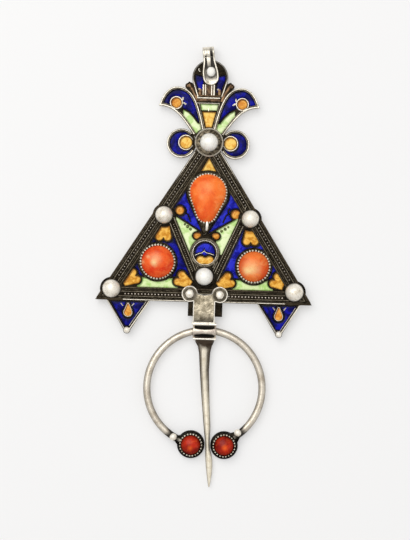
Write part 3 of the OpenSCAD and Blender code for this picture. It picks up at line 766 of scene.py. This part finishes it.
def capProfile(r, seat, edge, rise, steps=14):
    big = (r * r + rise * rise) / (2 * rise)
    low = edge + rise - big
    rim = [(r - 0.02, seat), (r - 0.02, edge - 0.25), (r - 0.06, edge - 0.05)]
    turn = math.asin((r - 0.12) / big)
    return rim + [(big * math.sin(turn * (1 - k / steps)) if k < steps else 0,
                   low + big * math.cos(turn * (1 - k / steps))) for k in range(steps + 1)]


def teeth(points, count, long, wide, foot, top, thick=0.14):
    # serrated bezel: small rounded teeth that lean over the stone
    shape = Shape()
    line = paced(points, 0.1, True)
    steps = ((0.0, foot, 1.0), (-0.03, foot + (top - foot) * 0.55, 1.0), (0.1, top - 0.1, 1.0),
             (long * 0.6, top + 0.06, 0.85), (long, top + 0.12, 0.45))
    for k in range(count):
        i = int(k * len(line) / count)
        way = np.cross((0, 0, 1), unit(line[(i + 1) % len(line)] - line[i]))
        path = [line[i] + way * reach + (0, 0, z) for reach, z, _ in steps]
        shape.run(path, lambda i: roundBar(steps[i][2] * wide / 2, 8, thick))
    return shape.points, shape.faces


def capsuleLine(p, r, q, k, z, step=4):
    # round two discs and along the lines that touch both, counter-clockwise
    p, q = np.array(p[:2], float), np.array(q[:2], float)
    aim = math.degrees(math.atan2(*(q - p)[::-1]))
    spread = math.degrees(math.acos((r - k) / np.linalg.norm(q - p)))
    wide = arc(p, r, aim + spread, aim + 360 - spread, z, step)
    return wide + arc(q, k, aim - spread, aim + spread, z, step)


def dropStone(look):
    # slices of the drop's outline, drawn in towards its middle as the dome rises
    at, end = np.array(look["at"]), np.array(look["end"])
    middle = at + (0, -1.5)
    turns = [math.pi / 2 * k / look["layers"] + 0.06 for k in range(look["layers"])]
    levels = [(1.0, look["seat"]), (1.0, look["edge"] - 0.3), (0.995, look["edge"] - 0.08)]
    levels += [(math.cos(t), look["edge"] + look["rise"] * math.sin(t)) for t in turns]
    points = []
    for share, z in levels:
        a, b = (middle + (place - middle) * share for place in (at, end))
        line = paced(capsuleLine(a, look["r"] * share, b, look["endR"] * share, z, 5), 0.25, True)
        points.extend(paced(line, 0, True, look["sides"]))
    size, top = look["sides"], len(points)
    points.append((*middle, look["edge"] + look["rise"]))
    faces = walls(size, len(levels)) + caps(size, len(levels))[:1]
    return points, faces + [(top - size + i, top - size + (i + 1) % size, top) for i in range(size)]


toothed, roped = Shape(), Shape()
for name, (at, r, seat, edge, rise, count, seed) in corals.items():
    made = uneven(lathe(at, capProfile(r, seat, edge, rise), 72), 0.05, 0.35, seed)
    # how far out from the middle each point lies, which sets the stone's painted shade towards its rim
    stone = Shape().add(made, lambda p: math.dist(p[:2], at) / r)
    if "tip" in name:
        stone.piece(name + "_stone", "ring_coral_stone", 50, (name,), "ring")
    else:
        stone.piece(name + "_stone", name + "_stone", 50, (name,))
        toothed.add(teeth(circle(at, r + bezel["out"], 0), count, *bezel["tooth"], edge + bezel["over"]))
        roped.add(twist(circle(at, r + bezel["rope"], bezel["ropeZ"]), *bezel["twist"]))
# the drop's painted shade grows down from its top towards its girdle
Shape().add(uneven(dropStone(drop), 0.07, 0.3, 29), lambda p: 1 - max(0, p[2] - drop["edge"]) / 0.9).piece(
    "drop_coral_stone", "drop_coral_stone", 50, ("drop_coral",))
line = capsuleLine(drop["at"], drop["r"] + bezel["out"] - 0.05, drop["end"], drop["endR"] + bezel["out"], 0)
toothed.add(teeth(line, drop["teeth"], *bezel["tooth"], drop["edge"] + 0.45))
line = capsuleLine(
    drop["at"], drop["r"] + bezel["rope"] + 0.15, drop["foot"], drop["footR"] + 0.2, bezel["ropeZ"])
roped.add(twist(line, *bezel["twist"]))
toothed.piece("bezel_teeth", "cream", 60)
roped.piece("bezel_ropes", "dim", 60)
claw = [(0.32, 24.3, 4.3), (0.42, 23.2, 4.5), (0.28, 21.9, 4.2), (-0.05, 20.6, 3.3)]
Shape().run(claw, lambda i: roundBar((0.3, 0.5, 0.42, 0.18)[i], 10, 0.3)).piece("drop_claw", "bright", 60)
print("corals set")


# Wires on the crest, the hanging points and round the cells.

rimZ = 3.02
petalEnds = [(1.45, 51.9), (9.5, 64.55), (14.95, 58.7), (4.5, 50.2)]
petalLine = (cubic(petalEnds[0], (2.9, 58.2), (4.3, 64.4), petalEnds[1])
             + cubic(petalEnds[1], (12.5, 64.6), (14.4, 61.6), petalEnds[2])[1:]
             + cubic(petalEnds[2], (10.05, 58.7), (7.65, 54.7), petalEnds[3])[1:])
rimLook = {"outer": (0.28, 0.52, 0.42), "inner": (0.72, 0.28, 0.34), "lobe": (8.05, 47.55), "lobeR": 4.4,
           "disc": (9.9, 59.65), "discR": 1.79, "lobeDisc": (6.7, 47.8), "lobeDiscR": 2.16}
pointLines = ((16.4, -0.15), (22.3, -9.0)), ((23.2, -9.0), (28.8, -0.15))


def rimSootAndShade(share, low, high):
    # painted shade towards the crest's outer curve, and soot with painted shade down the wire's sides
    return lambda p: share * step(p[1], low, high) + 0.5 * step(rimZ + 0.2 - p[2], 0, 0.2)


look = rimLook
rims, innerRims = Shape(), Shape()
for made, (inset, width, height) in ((rims, look["outer"]), (innerRims, look["inner"])):
    line = lifted(insetLine(petalLine, -inset), rimZ)
    made.wire(line, width, height, rimSootAndShade(0.3, 60.5, 63.2), both=True)
    line = arc(look["lobe"], look["lobeR"] - inset, -150, 136, rimZ + 0.01)
    made.wire(line, width, height, rimSootAndShade(0.42, 47.5, 51.5), both=True)
innerRims.wire([(1.25, 52, rimZ), (2.6, 57.4, rimZ), (3.05, 59.8, rimZ)], 0.34, 0.3, 0, 0.8, both=True)
# the right side of each point is the bright one, with a second line inside it; the other side is darker all
# along
for s, brightSide in ((-1, 0), (1, 1)):
    for k, line in enumerate(pointLines):
        worn = (0, 0.5) if k == brightSide else (0.42, 0)
        rims.wire(mirrored(lifted(line, rimZ), s), 0.44, 0.4, *worn)
    a, b = np.array(lifted(insetLine(pointLines[brightSide], 0.62), 2.98))
    rims.wire(mirrored([a, 0.12 * a + 0.88 * b], s), 0.24, 0.3, 0.3)
innerRims.piece("crest_inner_rims", "grey")
rims.piece("crest_rims", "rim")
crown = [(-3.5, 61.6, rimZ)] + arc((0.05, 67.35), 5.12, 199, -19, rimZ) + [(3.6, 61.6, rimZ)]
# painted shade: the crown's rim darkens towards its top
Shape().wire(crown, 0.5, 0.4, lambda p: 0.1 + 0.62 * min(1, max(0, (p[1] - 64.6) / 2.6))).piece(
    "crown_rim", "rim")
tips = Shape()
for s in (-1, 1):
    tips.add(uneven(ball((s * 22.8, -8.95, 2.75), 1.0, 0.95, 20, 11), 0.06, 0.9, s))
tips.piece("point_tips", "pearl", 60)

discRings = Shape()
line = circle(look["disc"], look["discR"], 2.98)
discRings.wire(line, 0.42, 0.3, 0, 0.5, foot=0.25, closed=True, both=True)
line = arc(look["lobeDisc"], look["lobeDiscR"], -160, 160, 2.96)
discRings.wire(line, 0.42, 0.3, lambda p: 0.15 + 0.4 * step(abs(p[0]), 6.2, 5.2), foot=0.25, both=True)
discRings.piece("disc_rings", "rim")

cellWires = Shape()
curl = lifted([(-6.6, 28.4), (-5.9, 27.6), (-6.15, 26.7), (-5.4, 26.2), (-5.0, 25.2), (-4.5, 24)], 2.93)
for line in (curl, [(2 * innerX - x, y, z) for x, y, z in curl][::-1]):
    cellWires.run(paced(line, 0.3), roundBar(0.24, 6))
notch = [(-2.95, 14.3), (-1.9, 14.85), (-0.95, 15.05), (-0.42, 15.5), (-0.27, 16.1), (-0.1, 15.5),
         (0.55, 15.1), (1.6, 14.9), (2.7, 14.5)]
cellWires.run(lifted(notch, 2.92), roundBar(0.16, 6))
heartWires = ((-12.6, 20.3, 270), (13.6, 19.7, 270), (-21.7, 6.8, 32), (22.1, 6.8, 148), (-6.6, 6.6, 150),
              (6.7, 6.5, 30))  # the heart's middle and which way its wire points
for x, y, aim in heartWires:
    on = np.array((math.cos(math.radians(aim)), math.sin(math.radians(aim)), 0))
    root = np.array((x, y, 2.86)) + on * 1.15
    cellWires.run([root, root + on * 1.1], lambda i: roundBar((0.08, 0.2)[i], 6))
cellWires.piece("cell_wires", "black")

light, bands = Shape(), Shape()
light.run(lifted([(x, y - 0.25) for x, y in notch], 2.95), roundBar(0.12, 6), 0.25)
for line in (((8.3, 60.2), (7.95, 60.7), (7.95, 61.3)), ((8.25, 59.75), (7.5, 59.55), (6.95, 59.2))):
    light.run(lifted(line, 2.98), lambda i: roundBar((0.34, 0.28, 0.16)[i], 8), both=True)
light.piece("light_wires", "rim")
for line in (((21.5, -1.7), (20.8, -0.9)), ((24.1, -1.7), (24.8, -0.9))):
    bands.run(lifted(line, 2.9), roundBar(0.22, 6), 0.5, both=True)
for side in ("left", "right"):
    around = max(outerLoops(side + "_point_drop", glassLook["level"]), key=len)
    bands.run(paced(lifted(around, 2.86), 0.2, True), roundBar(0.15, 6), 0.35, True)

armBeads = Shape()
for x, y, r in ((-6.3, 23.25, 0.36), (-5.45, 22.6, 0.5), (-4.55, 21.85, 0.46), (6.75, 22.75, 0.36),
                (5.85, 22.15, 0.5), (4.8, 21.5, 0.46)):
    armBeads.add(ball((x, y, 2.85), r, 0.7, 12, 7))
armBeads.piece("arm_beads", "olive", 60)
roundCell = {"at": (-0.05, 14.9), "line": 3.62, "rope": 4.12}
Shape().add(twist(circle(roundCell["at"], roundCell["rope"], 3.2), 0.3, 0.9)).piece(
    "round_cell_rope", "grey", 60)
Shape().wire(circle(roundCell["at"], roundCell["line"], rimZ), 0.3, 0.4, 0, 0.5, closed=True).piece(
    "round_cell_ring", "rim", 60)

# The crest's middle panel: a bright band, a dashed one, thin columns and brown brackets beside them.
panel = {"x": -0.3, "half": 3.4, "z": 3.05, "bright": ((61.3, 0.5, 0.3, 0.15), (59.72, 0.36, 0.26, 0.5)),
         "columns": ((-1.98, 0.52), (-1.28, 0.46), (0.55, 0.48), (1.3, 0.56)), "columnEnds": (62.15, 65.3),
         "dashed": 60.65, "dashes": 13, "red": 61.95}
look = panel
x0, x1 = look["x"] - look["half"], look["x"] + look["half"]


def across(y, z, more=0):
    return [(x0 - more, y, z), (x1 + more, y, z)]


def upright(x, low, high, z):
    return [(x, low, z), (x, high, z)]


for y, width, height, dark in look["bright"]:
    bands.wire(across(y, look["z"]), width, height, dark)
for x, width in look["columns"]:
    bands.wire(upright(x, *look["columnEnds"], look["z"]), width, 0.3, 0, 0.6)
for x in (-3.15, 2.5):
    bands.add(ball((x, 63.9, 3.0), 0.38, 0.8, 10, 6), 0.4)
bands.run([(-0.22, 57.4, 2.95), (-0.2, 58.2, 2.95)], roundBar(0.15, 6))
bands.run(lifted([(-3.4, 70.1), (-3.5, 69.6), (-3.05, 69.1)], 3.03), roundBar(0.14, 6), 0.4)
bands.piece("crest_bands", "rim")
lugs = Shape()
lugs.wire(across(look["dashed"], 3.04), 0.78, 0.16, 0.45)
lugs.wire(upright(-0.35, 62.3, 65.2, 3.0), 3.6, 0.12, 0.55)
lugs.wire(across(look["red"], look["z"], 0.2), 0.3, 0.2, 0.3)
for x in np.linspace(x0 + 0.3, x1 - 0.3, look["dashes"]):
    lugs.wire(upright(x, look["dashed"] - 0.22, look["dashed"] + 0.22, 3.17), 0.24, 0.12)
lugs.wire(lifted([(6.35, 65.3), (5.1, 63.4), (4.1, 61.6), (3.6, 60.3)], 3.03), 0.8, 0.3, 0, 0.9, both=True)
lugs.wire([(2.95, 62.25, 3.03), (2.85, 63.9, 3.03)], 1.0, 0.3, 0, 0.9, 0.1, both=True)
for s in (-1, 1):
    lugs.add(uneven(ball((s * 6.5, 64.85, 2.35), 0.95, 0.85, 16, 9), 0.08, 0.8, s), 0.35)
lugs.piece("crown_lugs", "copper", 50)
print("wires soldered")


# Bail: bright raised rims, a light strip between dark grooves, a bright foot and a rolled eye.

bailLook = {"at": (0.05, 68.9), "lean": 7.0, "eyeY": 5.75, "eyeZ": 2.2, "eye": 1.5, "thick": 0.7, "gap": 1.0,
            "foot": -1.4, "footR": 2.35, "roll": 1.72, "rim": 0.48, "strip": 0.56, "grid": 0.14, "cutY": 4.6,
            "halves": ((-1.4, 0, 0.4, 3.4, 5.75), (2.35, 2.35, 2.3, 1.74, 1.72)), "endTurn": 133.1,
            "turns": 30, "columns": (-1, -0.95, -0.76, -0.7, -0.64, -0.5, -0.42, -0.3, 0,
                                     0.12, 0.2, 0.28, 0.4, 0.55, 0.64, 0.7, 0.76, 0.95, 1)}
look = bailLook
lean = np.exp(1j * math.radians(look["lean"]))


def onBail(points):
    for x, y, *z in points:
        at = complex(*look["at"]) + complex(x, y) * lean
        yield (at.real, at.imag, *z)


def strapHalf(y):
    return float(np.interp(y, *bailLook["halves"]))


def strapForm(x, y):
    # raised and clean, or sunk and sooty; darker down the strip and on the foot, with a painted shadow round
    # the rivet's head
    look = bailLook
    low = y < look["foot"]
    edge = look["footR"] - math.hypot(x, y - look["foot"]) if low else strapHalf(y) - abs(x)
    rim = 1 - step(edge, look["rim"] - 0.08, look["rim"] + 0.1)
    rim *= 0.45 + 0.55 * step(edge, 0, 0.16)
    foot = step(-1.1 - y, 0, 2.2)
    shadow = 0.75 * (1 - step(math.hypot(x - 0.2, y - 0.08), 1.3, 2.1))
    strip = (1 - step(abs(x + 0.16), look["strip"] - 0.1, look["strip"] + 0.14)) * step(y, 0.7, 2.2)
    leftOpen = step(y, 4.9, 5.3) * step(-x, 0.4, 0.9)
    solid = max(rim, foot, strip, leftOpen)
    deep = 0.76 + 0.24 * step(y, 0.7, 1.9)
    dimmed = strip * (1 - rim) * (0.3 + 0.45 * step(-y, -4.6, -1.2)) + 0.34 * foot * (1 - rim)
    return (0.26 * max(rim, foot * 0.75, leftOpen * 0.5) + 0.12 * strip,
            max(deep * (1 - solid) + dimmed, shadow * (1 - rim)))


def strapFormAt(p):
    at = (complex(p[0], p[1]) - complex(*bailLook["at"])) / lean
    return strapForm(at.real, at.imag)


def strapHeight(places, away):
    return [look["eyeZ"] + look["gap"] + look["thick"] - 0.06 + strapFormAt(p)[0] for p in places]


def eyeRow(turn):
    # across the rolled strap, its formed outside and then its plain bore on the way back; lighter round the
    # roll's far end and under it
    for c in look["columns"]:
        x, y = c * look["roll"], look["eyeY"] + 2.2 * math.cos(turn)
        lift, darkness = strapForm(x, min(y, 5.6)) if turn > 0.35 else (0.1, 0.2)
        r = look["eye"] + look["thick"] - 0.14 + lift * 0.55 - (0.08 if abs(c) == 1 else 0)
        yield x, r, darkness * (0.35 + 0.65 * step(math.degrees(turn), 35, 95))
    for c in reversed(look["columns"]):
        yield c * look["roll"], look["eye"], 0.5


right = [(strapHalf(y), y) for y in (*np.arange(-1.0, look["cutY"], 0.4), look["cutY"])]
strapLine = arc((0, look["foot"]), look["footR"], -180, 0, 0, 5) + right + [(-x, y) for x, y in right[::-1]]
strapLoop = [np.array([p[:2] for p in onBail(strapLine)])]
top, low = look["eyeZ"] + look["gap"], look["eyeZ"] - look["gap"]
upper = pool(strapLoop, top, strapHeight, look["grid"])
bail = Shape().add(upper, lambda p: strapFormAt(p)[1] if p[2] > 3.5 else 0.3)
bail.add(pool(strapLoop, low - look["thick"], lambda places, away: np.full(len(places), low), 0.5), 0.3)
points, sootAndShade = [], []
for turn in np.radians(np.linspace(look["endTurn"], -look["endTurn"], look["turns"])):
    for x, r, darkness in eyeRow(turn):
        points.append((x, look["eyeY"] + r * math.cos(turn), look["eyeZ"] + r * math.sin(turn)))
        sootAndShade.append(darkness)
size = 2 * len(look["columns"])
bail.add((list(onBail(points)), walls(size, look["turns"]) + caps(size, look["turns"])), sootAndShade)
bail.piece("bail_strap", "rim", 50, ("bail",))

rivets = {  # the head's place, radius, flatness, stretch and unevenness, the shaft's x and foot, and the look
    "bail_rivet": ((0.24, 69.0, 4.75), 1.26, 0.95, 1.18, (0.08, 0.9), 0.05, 0.2, "white"),
    "left_rivet": ((-4.2, 2.5, 4.45), 1.25, 0.72, 1, (0.15, 1.5), -4.2, 1.34, "pearl"),
    "right_rivet": ((4.8, 2.4, 4.45), 1.25, 0.72, 1, (0.15, 1.5), 4.8, 1.34, "pearl")}
for node, ((x, y, z), r, flat, tall, rough, shaft, foot, kind) in rivets.items():
    points, faces = ball((x, y, z), r, flat, 24, 13)
    points = [(p[0], y + (p[1] - y) * tall, p[2]) for p in points]
    # painted shade low round each head
    head = Shape().add(uneven((points, faces), *rough, x), lambda p: 0.5 * max(0, 1 - (p[2] - z + 0.3) / 0.7))
    head.add(lathe((shaft, y), [(0.58, foot), (0.58, z)], 24))
    if node == "bail_rivet":
        head.add(lathe(bailLook["at"], [(1.05, 0.12), (1.08, 0.3), (0.95, 0.44)], 32))
    head.piece(node + "_head", kind, 60, (node,))
print("bail folded")


# Pin: a pitted plate with bright rims, a tubular head between two ridges, and a faceted blade.

pinLook = {"level": 4.3, "foot": 3.47, "top": 4.24, "edge": 0.26, "bevel": 0.3, "grid": 0.28, "fit": 0.55,
           "headY": -8.6, "headR": 2.2, "headZ": 2.2, "bore": 1.45, "headL": 7.0, "headSides": 96,
           "stations": (0, 0.05, 0.2, 0.36, 0.6, 0.9, 1.5, 2.4, 3.5, 4.6, 5.5, 6.1, 6.4, 6.64, 6.8, 6.95, 7),
           "grooves": ((37, 15, 0.36, 1), (-46, 15, 0.38, -1))}  # angle, width, depth, which way it bulges
look = pinLook


def plateHeight(places, away):
    rise = np.clip(away / look["bevel"], 0, 1) ** 0.6
    waves = np.array([noise.noise(Vector((x * 0.9, y * 0.9, 8.2))) for x, y in places])
    pitting = np.array([noise.noise(Vector((x * 2.6, y * 2.6, 4.1))) for x, y in places])
    relief = waves * 0.05 - np.clip(pitting - 0.25, 0, 1) * 0.35
    return look["top"] - look["edge"] + (look["edge"] + relief) * rise


def plateSootAndShade(p):
    # soot and painted shade round the rivets, and darker before the ridge towards the head
    near = min(math.dist(p[:2], rivets[side + "_rivet"][0][:2]) for side in ("left", "right"))
    return max(0.7 - 0.7 * step(near, 1.7, 3.4), 0.8 - 0.8 * step(p[1], -6.6, -1.6))


plateLoops = outerLoops("pin", look["level"])
plate = pool(plateLoops, look["foot"], plateHeight, look["grid"])
Shape().add(plate, plateSootAndShade).piece("pin_plate", "strap", 50, ("pin",))
outer = paced(lifted(max(plateLoops, key=lambda loop: np.ptp(loop[:, 0])), 0), 0.3, True)
onward = np.roll(outer, -1, axis=0) - np.roll(outer, 1, axis=0)
onward /= np.linalg.norm(onward, axis=1)[:, None]
rimLine = outer + 0.2 * np.stack([-onward[:, 1], onward[:, 0], np.zeros(len(outer))], 1)
rimLine[:, 2] = look["top"] - 0.14
plateRim = Shape().wire(
    rimLine, 0.42, 0.26, lambda p: 0.55 if abs(p[0] - 0.3) < 2.5 and p[1] > -1.2 else 0.12, closed=True)
plateRim.piece("pin_plate_rim", "bright")
print("pin plate laid")


def grooved(angle, along):
    # how deep the dark grooves beside the middle belt cut into the tube; they are widest half way along
    bulge = 1 - ((along - 3.5) / 3.5) ** 2
    return sum(depth * math.exp(-((angle - at + way * 4 * bulge) / (wide * (0.7 + 0.5 * bulge))) ** 4)
               for at, wide, depth, way in look["grooves"])


x0, x1 = look["fit"] - look["headL"] / 2, look["fit"] + look["headL"] / 2
points, sootAndShade = [], []
for angle in fullTurn(look["headSides"]):
    row = []
    for along in look["stations"]:
        deep = grooved((math.degrees(angle) + 180) % 360 - 180, along)
        end = min(along, look["headL"] - along)
        cut = deep * step(end, 0.25, 1.0 - 0.35 * deep)
        ease = np.interp(end, [0, 0.05, 0.2], [0.2, 0.08, 0])
        row.append((x0 + along, look["headR"] - ease - cut, min(1, cut * 7)))
    for x, r, darkness in row + [(x1, look["bore"], 0.6), (x0, look["bore"], 0.6)]:
        points.append((x, look["headY"] + r * math.sin(angle), look["headZ"] + r * math.cos(angle)))
        sootAndShade.append(darkness)
faces = walls(len(look["stations"]) + 2, look["headSides"], True)
Shape().add((points, faces), sootAndShade).piece("pin_head", "belt", 50, ("pin",))
ridges = Shape()
ridges.run([(x0, -6.5, 3.75), (x1, -6.5, 3.75)], roundBar(0.5, 20, 0.62))
ridges.run([(x0 + 0.1, -10.95, 2.75), (x1 - 0.1, -10.95, 2.75)], roundBar(0.42, 20, 0.6))
ridges.piece("pin_head_ridges", "bright", 40, ("pin",))

# the blade's place along y, its middle, width and thickness, and its facet's share of the width
pinRows = [(-10.4, 0.65, 6.0, 2.2, 1.0), (-11.9, 0.68, 5.6, 2.0, 0.9), (-12.6, 0.72, 4.9, 1.95, 0.15),
           (-13.2, 0.77, 4.2, 1.9, 0.3), (-15.2, 0.78, 3.4, 1.9, 0.5), (-20.2, 0.85, 2.8, 1.8, 0.42),
           (-25.6, 1.2, 2.55, 1.7, 0.36), (-31, 1.61, 2.3, 1.6, 0.32), (-37.3, 2.15, 2.05, 1.4, 0.28),
           (-40.4, 2.32, 1.6, 1.3, 0.26), (-42.8, 2.42, 1.4, 1.2, 0.25), (-44.2, 2.55, 1.54, 1.15, 0.25),
           (-45.8, 2.8, 1.9, 1.12, 0.22), (-47.4, 3.02, 2.1, 1.1, 0.2), (-49.4, 3.14, 1.94, 1.0, 0.18),
           (-51.8, 3.22, 1.5, 0.9, 0.15), (-54.2, 3.24, 0.8, 0.6, 0.15), (-55.5, 3.24, 0.3, 0.3, 0.15)]


def bladeAt(y):
    downs, *columns = zip(*pinRows)
    return [float(np.interp(-y, [-down for down in downs], column)) for column in columns]


def bladeRing(y):
    # flat facet on top, sloping sides, the same below
    middle, width, thick, facet = bladeAt(y)
    w, t, z = width / 2, thick / 2, 2.2 + (y + 8.6) * 0.018
    f = w * facet
    half = [(w, 0), (w * 0.93, t * 0.35), ((f + w * 0.93) / 2, t * 0.66), (f, t * 0.97), (f * 0.66, t * 0.98),
            (f * 0.33, t * 0.99)]
    outline = [(-w * 0.93, -t * 0.3), (-f, -t * 0.97), (f, -t * 0.97), (w * 0.93, -t * 0.3)] + half
    return [(middle + a, y, z + b) for a, b in outline + [(0, t)] + [(-a, b) for a, b in half[::-1]]]


def bladeSootAndShade(p):
    # brown under the head with a painted shadow there, browner in the upper part, clean along the middle, and
    # painted shade on the right and down the flanks
    middle, width, *_ = bladeAt(p[1])
    half = width / 2
    off = abs(p[0] - middle) / half
    root = 0.85 * step(p[1], -14.6, -11.8) * (1 - step(off, 0.3, 0.8))
    lower = step(p[1], -30, -36) * step(p[1], -47, -44)
    upper = 0.33 * step(p[1], -34, -22)
    right = 0.4 * step(p[0] - middle, 0.1 * half, 0.6 * half) * step(p[1], -30, -18)
    sideSootAndShade = (0.55 + 0.25 * lower) * step(off, 0.45, 0.95)
    return max(root, 0.9 * step(p[1], -12.3, -11.9)) + 0.03 + upper + max(right, sideSootAndShade)


heights = sorted({row[0] for row in pinRows} | set(np.round(np.arange(-17, -11.9, 0.35), 2)), reverse=True)
points = [p for y in heights for p in bladeRing(y)]
size = len(points) // len(heights)
faces = walls(size, len(heights)) + caps(size, len(heights))
Shape().add((points, faces), bladeSootAndShade).piece("pin_blade", "blade", 24, ("pin",))
print("pin forged")


# Ring: a smooth pale wire that darkens into two tapering collars with cups.

ringLook = {
    "at": (1.03, -25.671), "r": 17.3, "wire": 1.1, "z": 2.2, "ball": 1.1, "cupR": 3.2, "neckR": 1.3,
    "ends": {  # where the wire stops, in degrees, and its ball
        "left_tip_coral": (-114.5, (-7.9, -40.6)), "right_tip_coral": (-55.5, (11.4, -38.8))},
    "collar": ((-0.12, 1.15), (0, 1.35), (0, 2.85), (-0.15, 3.1), (-0.4, 3.2)),
    "cup": ((4.1, 0.02), (4.15, 0.2), (4.15, 1.75), (4.0, 1.95), (3.86, 2.0), (3.82, 2.5), (3.68, 2.62),
            (3.48, 2.65), (3.46, 3.45), (3.0, 3.5), (3.0, 1.5), (0, 1.5)),
    "toothR": 3.34, "tooth": (0.26, 0.5, 2.9, 3.72, 0.12)}
look = ringLook


def wireSootAndShade(p):
    # painted shade along both edges of the wire, and soot thickening towards the balls at its ends
    across = abs(math.dist(p[:2], look["at"]) - look["r"]) / look["wire"]
    end = max(0, 1 - min(math.dist(p[:2], spot) for _, spot in look["ends"].values()) / 3.2)
    return 0.62 * step(across, 0.5, 0.95) + 0.9 * min(1, end * 1.8)


wirePath = arc(look["at"], look["r"], -57.5, 247.5, look["z"], 2.5)
Shape().run(wirePath, roundBar(look["wire"], 24), wireSootAndShade).piece("ring_wire", "ring", 50, ("ring",), "ring")
cups, cupTeeth, balls = Shape(), Shape(), Shape()
for name, (stop, spot) in look["ends"].items():
    at, count = corals[name][0], corals[name][5]
    wire = arc(look["at"], look["r"], stop, stop, 0)[0]
    rings = [capsuleLine(at, look["cupR"] + d, wire, look["neckR"] + d, z) for d, z in look["collar"]]
    size = len(rings[0])
    cups.add(([p for ring in rings for p in ring], walls(size, len(rings)) + caps(size, len(rings))))
    cups.add(lathe(at, look["cup"], 64))
    cupTeeth.add(teeth(circle(at, look["toothR"], 0), count, *look["tooth"]))
    balls.add(uneven(ball((*spot, look["z"] + 0.75), look["ball"], 0.95, 24, 13), 0.05, 0.9, at[0]))
cups.piece("ring_cups", "black", 40, ("ring",), "ring")
cupTeeth.piece("ring_cup_teeth", "cream", 60, ("ring",), "ring")
balls.piece("ring_balls", "pearl", 60, ("ring",), "ring")
print("ring closed on its corals")


# Floor, light and camera.

stage = {"floor": ("#c2c1c0", "#bdbdbd"), "glow": 0.375, "floorSize": 3.0, "zenith": 0.7, "horizon": 0.12,
         "white": "#ffffff"}
board = Paint("pale_board")
half = stage["floorSize"] / 2
mesh = bpy.data.meshes.new("floor")
mesh.from_pydata([(-half, -half, 0), (half, -half, 0), (half, half, 0), (-half, half, 0)], [], [(0, 1, 2, 3)])
mesh.materials.append(board.finish(
    board.mix(board.noise(0.02, 2.0, 0.5) * 0.15, *stage["floor"]), 0.8, None,
    {"Emission Color": stage["white"], "Emission Strength": stage["glow"]}))
floor = bpy.data.objects.new("floor", mesh)
bpy.context.scene.collection.objects.link(floor)

sky = Paint("studio", bpy.data.worlds, "Generated")
height = sky.node("ShaderNodeSeparateXYZ", None, {0: sky.place}, "Z")
glow = sky.between(height, 0.0, 0.85) * (stage["zenith"] - stage["horizon"]) + stage["horizon"]
background = sky.node("ShaderNodeBackground", None, {"Color": stage["white"], "Strength": glow})
sky.node("ShaderNodeOutputWorld", None, {"Surface": background})
bpy.context.scene.world = sky.material
bpy.context.scene.view_settings.view_transform = "Standard"

# place, size and power
lamps = {"overhead": ((-0.22, 0.30, 0.75), 0.7, 4.1), "side": ((0.7, -0.3, 0.35), 0.3, 0.25)}
for name, (place, size, power) in lamps.items():
    light = bpy.data.lights.new(name, "AREA")
    light.shape = "SQUARE"
    light.size = size
    light.energy = power
    lamp = bpy.data.objects.new(name, light)
    lamp.location = place
    lamp.rotation_euler = (-Vector(place)).to_track_quat("-Z", "Y").to_euler()
    bpy.context.scene.collection.objects.link(lamp)

shot = {"middle": (0.00016, -0.00092), "roll": 1.7, "away": 0.5, "tall": 0.162, "level": 0.0028, "sensor": 36}
lens = bpy.data.cameras.new("portrait")
lens.sensor_fit = "VERTICAL"
lens.sensor_height = shot["sensor"]
lens.lens = shot["sensor"] * shot["away"] / shot["tall"]
lens.clip_start = 0.01
camera = bpy.data.objects.new("portrait", lens)
camera.location = (*shot["middle"], shot["level"] + shot["away"])
camera.rotation_euler = (0, 0, math.radians(shot["roll"]))
bpy.context.scene.collection.objects.link(camera)
bpy.context.scene.camera = camera
